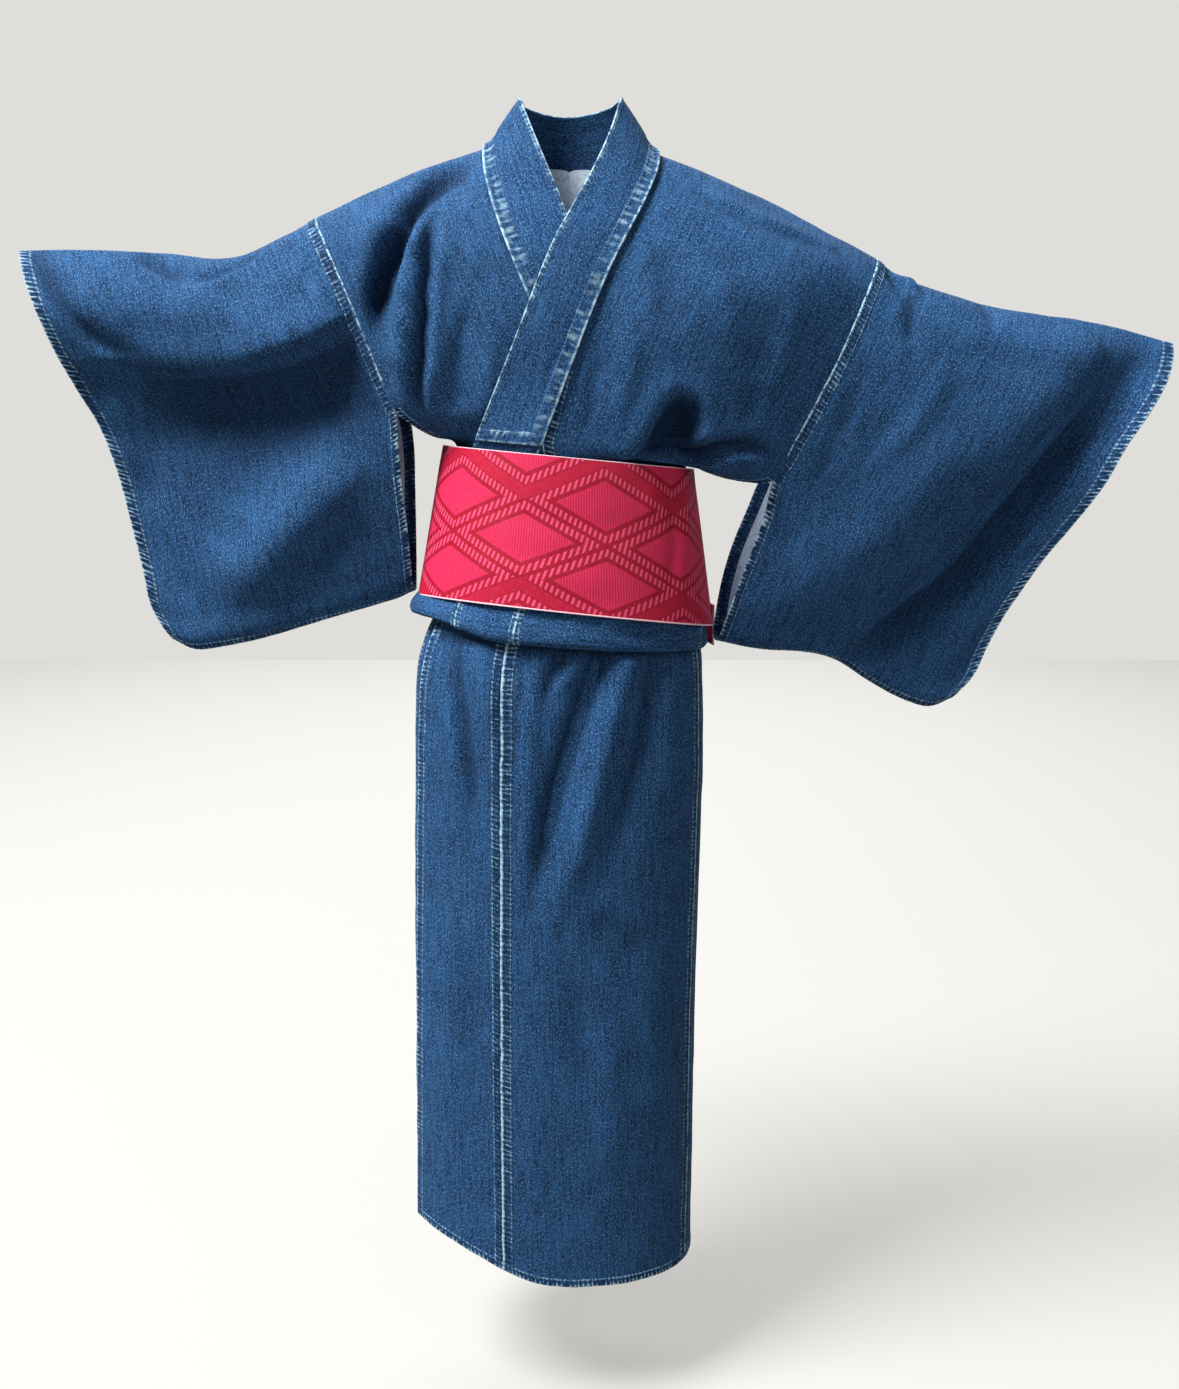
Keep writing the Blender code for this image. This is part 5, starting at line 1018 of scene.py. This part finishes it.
def skirtCoarse():
    drops, seams = skirt["drops"], skirt["seams"]
    down = drops[:, None] / drops[-1]
    angles, marks = [], [0]
    for (top, low, columns), (nextTop, nextLow, _) in zip(seams[:-1], seams[1:]):
        share = np.linspace(0.0, 1.0, int(columns))[None, :]
        angle = (top + (low - top) * down) * (1 - share) + (nextTop + (nextLow - nextTop) * down) * share
        angles.append(angle[:, 1:] if angles else angle)
        marks.append(marks[-1] + int(columns) - 1)
    angle = np.concatenate(angles, axis=1)
    x = skirtPoint(angle, tuckTop - drops[-1] * down)[..., 0]
    top = tuckTop - skirt["underTuck"] - tuckSlope * x
    hem = skirt["hemZ"] + skirt["hemRise"] * smoothStep((-x - 0.01) / 0.17) - skirt["hemSlope"] * x
    grid = skirtPoint(angle, top + (hem - top) * down)
    folds = foldHeight(grid[..., 0], grid[..., 2], skirt["folds"]) * smoothStep((down - 0.06) / 0.08)
    grid[..., 1] -= folds * (angle <= skirt["foldsEnd"])
    return grid, marks


coarse, marks = skirtCoarse()
rowsAt = evenRows(coarse, fineStep)
across = betweenRows(coarse, rowsAt).transpose(1, 0, 2)
reach = lengthsAlong(across)
stations, cuts = [], [0]        # fine columns, one of them on every seam
for low, high in zip(marks[:-1], marks[1:]):
    count = max(int(round((reach[high] - reach[low]) / fineStep)), 4)
    part = np.interp(np.linspace(reach[low], reach[high], count + 1), reach, np.arange(len(reach)))
    stations.append(part[1:] if stations else part)
    cuts.append(cuts[-1] + count)
wound = betweenRows(across, np.concatenate(stations)).transpose(1, 0, 2)
whole = {"grid": wound, "rows": rowsAt, "coarse": len(coarse), "around": False, "lift": denimLift,
         "normals": outwardNormals(wound)}
depthDown = wound[..., 2].max(axis=0, keepdims=True) - wound[..., 2]
outerTurns = (np.arange(wound.shape[1]) <= cuts[4])[None, :]
dress(whole, skirt["creases"], skirt["backCreases"], 0.0008, 21,
      smoothStep((depthDown - 0.040) / 0.018) * outerTurns)
# painted shadow: a dark line on the skirt where the tuck rests on it
whole["pale"] = whole["pale"] - 0.75 * np.exp(-((depthDown - 0.045) / 0.006) ** 2) * outerTurns
for (name, node, width, edges), low, high in zip(skirtPieces, cuts[:-1], cuts[1:]):
    part = dict(whole, **{key: whole[key][:, low:high + 1] for key in ("grid", "normals", "pale")})
    addPiece(name + "Skirt", part, (node + "_skirt",), denimCloth, edges=edges)
print("skirt made")

# the tuck below the belt: its rings (drop, half width, half depth, centre in cm) and those that lie on the skirt
# (drop, gap in m)
tuck = {
    "rings": rowsOf("1.5 16.1 12.8 -.45, 2.8 16.5 13.05 -.8, 4 16.85 13.3 -1.1, 5 16.95 13.35 -1.15"),
    "inner": rowsOf(".053 .0047, .05 .0031, .037 .0031, .024 .0031"),
    "creases": creasesOf("""
        -10.8 -47, -10.4 -49.8: .7 .5 .16; -7.4 -47.2, -7.2 -50: .5 .6 -.14; .6 -47.5, .9 -50.8: .8 .6 .16;
        4.2 -47.8, 4 -51: .6 .9 .18; 7.4 -48, 7 -51.2: .6 .6 -.15; 10.8 -48.5, 10.2 -51.4: .9 .7 .15"""),
}


def tuckCoarse():
    angle = np.linspace(0.0, 360.0, 56, endpoint=False)
    turn = np.radians(angle)
    wound = np.where(angle > 284.0, angle - 360.0, angle)

    def height(x, drop):
        # the fold hangs less deep on the right
        return tuckTop - drop * (1.0 - 0.26 * smoothStep((-x - 0.07) / 0.09)) - tuckSlope * x

    rings = []
    for drop, halfWidth, halfDepth, centre in tuck["rings"] * cm:
        x = centre + halfWidth * np.sin(turn)
        rings.append(np.stack([x, -halfDepth * np.cos(turn), height(x, drop)], axis=1))
    for drop, gap in tuck["inner"]:
        rings.append(skirtPoint(wound, height(rings[-1][:, 0], drop), outward=gap))
    return np.stack(rings, axis=1)


tuckPanel = makePanel(tuckCoarse(), around=True, step=0.006, acrossStep=0.004)
outerShare = smoothStep(np.linspace(1.0, 0.0, tuckPanel["grid"].shape[1])[None, :] * 2.6 - 1.2)
dress(tuckPanel, tuck["creases"], (), 0.0006, 31, outerShare)
addPiece("waistTuck", tuckPanel, ("waist_tuck",), denimCloth,
         edges=[("end", "tuckSeam", (30, 56), 0.046), ("end", "tuckSeam", (30, 56), 0.118),
                ("start", "tuckSeam", (0, 26), 0.190)])
print("tuck made")

# the belt with its bow, knot and tails, in cm; its two edges: half width, half depth, centre, height, slope, rise
obi = {
    "edges": rowsOf("14 11.9 0 -31.4 .094 0, 16.75 13.35 -.35 -48.6 .107 .08"),
    "creases": creasesOf("""
        12.6 -33.5, 12.9 -40, 12.4 -46: .7 1 .2; 11.2 -34, 11.4 -41, 10.9 -47: .7 .6 -.18; -11.5 -36.6, -4 -37.6,
        5 -38.8, 11 -39.6: 1.5 1.2 -.1; -12 -42.5, -3 -43.6, 7 -44.6: 1.4 1.6 .1; 9 -34, 8.6 -38: .8 .8 .1"""),
}
knot = {
    "halfWidth": 2.6, "y": 14.52, "z": -36.8, "halfHeight": 4.6, "halfDepth": 1.86, "power": 0.42, "lean": 0.084,
    "backCreases": creasesOf("-1 -33.5, -.8 -37, -1.1 -40: .5 .5 -.14; .9 -33.5, 1.1 -37, .8 -40: .5 .5 -.14"),
}
bow = {
    "halfWidth": 13.5, "pinch": 3.2, "halfHeight": 6.2, "droop": 3.2, "pinchDepth": 1.42, "puff": 0.8,
    "curl": 0.016,
    "creases": creasesOf("""
        3.2 -36.8, 6.5 -36.4, 10.5 -37.6: 1 1.2 -.2; -3.2 -36.8, -6.5 -36.4, -10.5 -37.6: 1.2 1 -.2"""),
    "backCreases": creasesOf("""
        2.9 -36.2, 7 -34.6, 11 -35: .9 .9 -.24; 2.9 -37.6, 7 -39.8, 11 -41.5: .9 .9 -.24; -2.9 -36.2, -7 -34.6,
        -11 -35: .9 .9 -.24; -2.9 -37.6, -7 -39.8, -11 -41.5: .9 .9 -.24"""),
}
tail = {"halfWidth": 2.4, "path": rowsOf("""
        .6 13.75 -43.92, 5 13.9 -45.3, 9.5 12.8 -47.3, 13.8 10 -49.6, 17.2 6.6 -51.2""")}


def obiCoarse():
    turn = np.radians(np.linspace(180.0, 540.0, 56, endpoint=False))
    ends = []
    for halfWidth, halfDepth, centre, z, slope, rise in obi["edges"]:
        x, y = centre + halfWidth * np.sin(turn), -halfDepth * np.cos(turn)
        ends.append(np.stack([x, y, z - slope * x - rise * np.minimum(y, 0.0)], axis=1) * cm)
    share = np.linspace(0.0, 1.0, 5)[None, :, None]
    return ends[0][:, None] * (1 - share) + ends[1][:, None] * share


def leaning(x, y, z):
    # bow and knot lean as the back does
    return np.stack(np.broadcast_arrays(x, y + knot["lean"] * (knot["z"] - z), z), axis=2) * cm


def bowCoarse():
    turn = np.radians(np.linspace(0.0, 360.0, 40, endpoint=False))[:, None]
    x = bow["halfWidth"] * np.cos(turn)
    puff = bow["pinchDepth"] + bow["puff"] * smoothStep((np.abs(x) - 3.0) / 5.0)
    y = knot["y"] - bow["curl"] * np.maximum(np.abs(x) - knot["halfWidth"], 0.0) ** 2 + puff * np.sin(turn)
    spread = bow["pinch"] + (bow["halfHeight"] - bow["pinch"]) * smoothStep((np.abs(x) - 1.5) / 8.0)
    z = knot["z"] - bow["droop"] * (x / bow["halfWidth"]) ** 2 + spread * np.linspace(-1.0, 1.0, 5)
    return leaning(x, y, z)


def knotCoarse():
    turn = np.radians(np.linspace(0.0, 360.0, 32, endpoint=False))[:, None]
    y, z = (np.sign(value) * np.abs(value) ** knot["power"] for value in (np.cos(turn), np.sin(turn)))
    return leaning(np.linspace(-knot["halfWidth"], knot["halfWidth"], 4), knot["y"] + knot["halfDepth"] * y,
                   knot["z"] + knot["halfHeight"] * z)


def tailCoarse(sign, length):
    path = smoothCurve(tail["path"], np.linspace(0.0, length, 10))
    across = np.linspace(-1.0, 1.0, 4)[None, :, None] * np.array([0.0, 0.0, tail["halfWidth"]])
    return (path[:, None, :] + across) * np.array([sign, 1.0, 1.0]) * cm


def addBelt(name, node, panel, offset, edges=("first", "last")):
    addPiece(name, panel, (node,), beltCloth, [(edge, "selvage") for edge in edges], offset)


obiPanel = makePanel(obiCoarse(), True, 0.0, 0.005, 0.005, obiLift)
alongObi = np.linspace(0.0, 1.0, obiPanel["grid"].shape[1])[None, :]
dress(obiPanel, obi["creases"], (), 0.0005, 41, smoothStep(alongObi / 0.10) * smoothStep((1 - alongObi) / 0.10))
addPiece("obiWrap", obiPanel, ("obi_wrap",), beltCloth,
         [("first", "selvage"), ("last", "selvageLow")], (-0.0925, -0.400))
bowPanel, knotPanel = (makePanel(shape(), True, 0.145, 0.004, 0.004, obiLift) for shape in (bowCoarse, knotCoarse))
dress(bowPanel, bow["creases"], bow["backCreases"], 0.0004, 42)
addBelt("obiBow", "obi_bow", bowPanel, (-0.062, 0.0))
dress(knotPanel, (), knot["backCreases"], 0.0002, 43)
addBelt("obiKnot", "obi_knot", knotPanel, (-0.026, 0.0))
for side, sign, share, length in (("left", 1.0, 1.0, 0.20), ("right", -1.0, 0.8, 0.16)):
    tailPanel = makePanel(tailCoarse(sign, share), False, 0.0, 0.004, 0.004, obiLift)
    dress(tailPanel, noise=0.0004, seed=44)
    addBelt("obiTail" + side.title(), "obi_tail_" + side, tailPanel,
            (-0.024, 0.0), ("first", "last", "end"))
print("belt made")

studio = {"floorZ": -1.42, "floorHalf": 6.0, "floorColour": (0.22, 0.215, 0.205, 1.0), "floorGlow": 0.40,
          "pale": (0.95, 0.935, 0.905, 1.0), "skySeen": 0.58, "skyShed": 0.20}
lamps = {"key": ((-2.9, -1.8, 4.35), (0.0, 0.0, -0.4), 2.3, 990.0),       # place, aim, size in m, power in W
         "fill": ((1.2, -1.7, 0.5), (0.3, 0.0, -0.3), 1.2, 10.0),
         "rear": ((0.0, 4.6, 2.8), (0.0, 4.0, -1.4), 5.0, 360.0)}
view = {"place": (0.0234, -1.6, -0.3113), "downward": 9.71, "sensorHeight": 36.0, "lens": 36.285}

floorMaterial, floorTree, floorShader = materialOf("floorPale", {
    "Base Color": studio["floorColour"], "Roughness": 0.9, "Emission Color": studio["pale"]})
# a little light of its own, for the eye only, keeps the floor pale from near to far
seen = nodeIn(floorTree, "ShaderNodeLightPath").outputs["Is Camera Ray"]
plug(floorTree, floorShader, {"Emission Strength": sumOf(floorTree, "MULTIPLY", seen, studio["floorGlow"])})
floorPoints = rowsOf("-1 -1 0, 1 -1 0, 1 1 0, -1 1 0") * studio["floorHalf"] + [0.0, 0.0, studio["floorZ"]]
meshPiece("floor", floorPoints, np.array([[0, 1, 2, 3]]), [floorMaterial])

world = bpy.data.worlds.new("paleWorld")
world.use_nodes = True
# the sky that is seen is pale, the light it sheds is weaker, so that the lamps shape the folds
seen = nodeIn(world.node_tree, "ShaderNodeLightPath").outputs["Is Camera Ray"]
plug(world.node_tree, world.node_tree.nodes["Background"].inputs, {
    "Color": studio["pale"],
    "Strength": sumOf(world.node_tree, "MULTIPLY_ADD", seen, studio["skySeen"], studio["skyShed"])})
bpy.context.scene.world = world

for name, (place, aim, size, power) in lamps.items():
    lamp = bpy.data.lights.new(name, "AREA")
    lamp.size, lamp.energy = size, power
    holder = linked(name, lamp)
    holder.location = place
    holder.rotation_euler = (Vector(aim) - Vector(place)).to_track_quat("-Z", "Y").to_euler()
    holder.visible_camera = False

cameraData = bpy.data.cameras.new("camera")
cameraData.sensor_fit = "VERTICAL"
cameraData.sensor_height, cameraData.lens = view["sensorHeight"], view["lens"]
camera = linked("camera", cameraData)
camera.location = view["place"]
camera.rotation_euler = (math.radians(90.0 - view["downward"]), 0.0, 0.0)
bpy.context.scene.camera = camera
bpy.context.scene.view_settings.view_transform = "Standard"
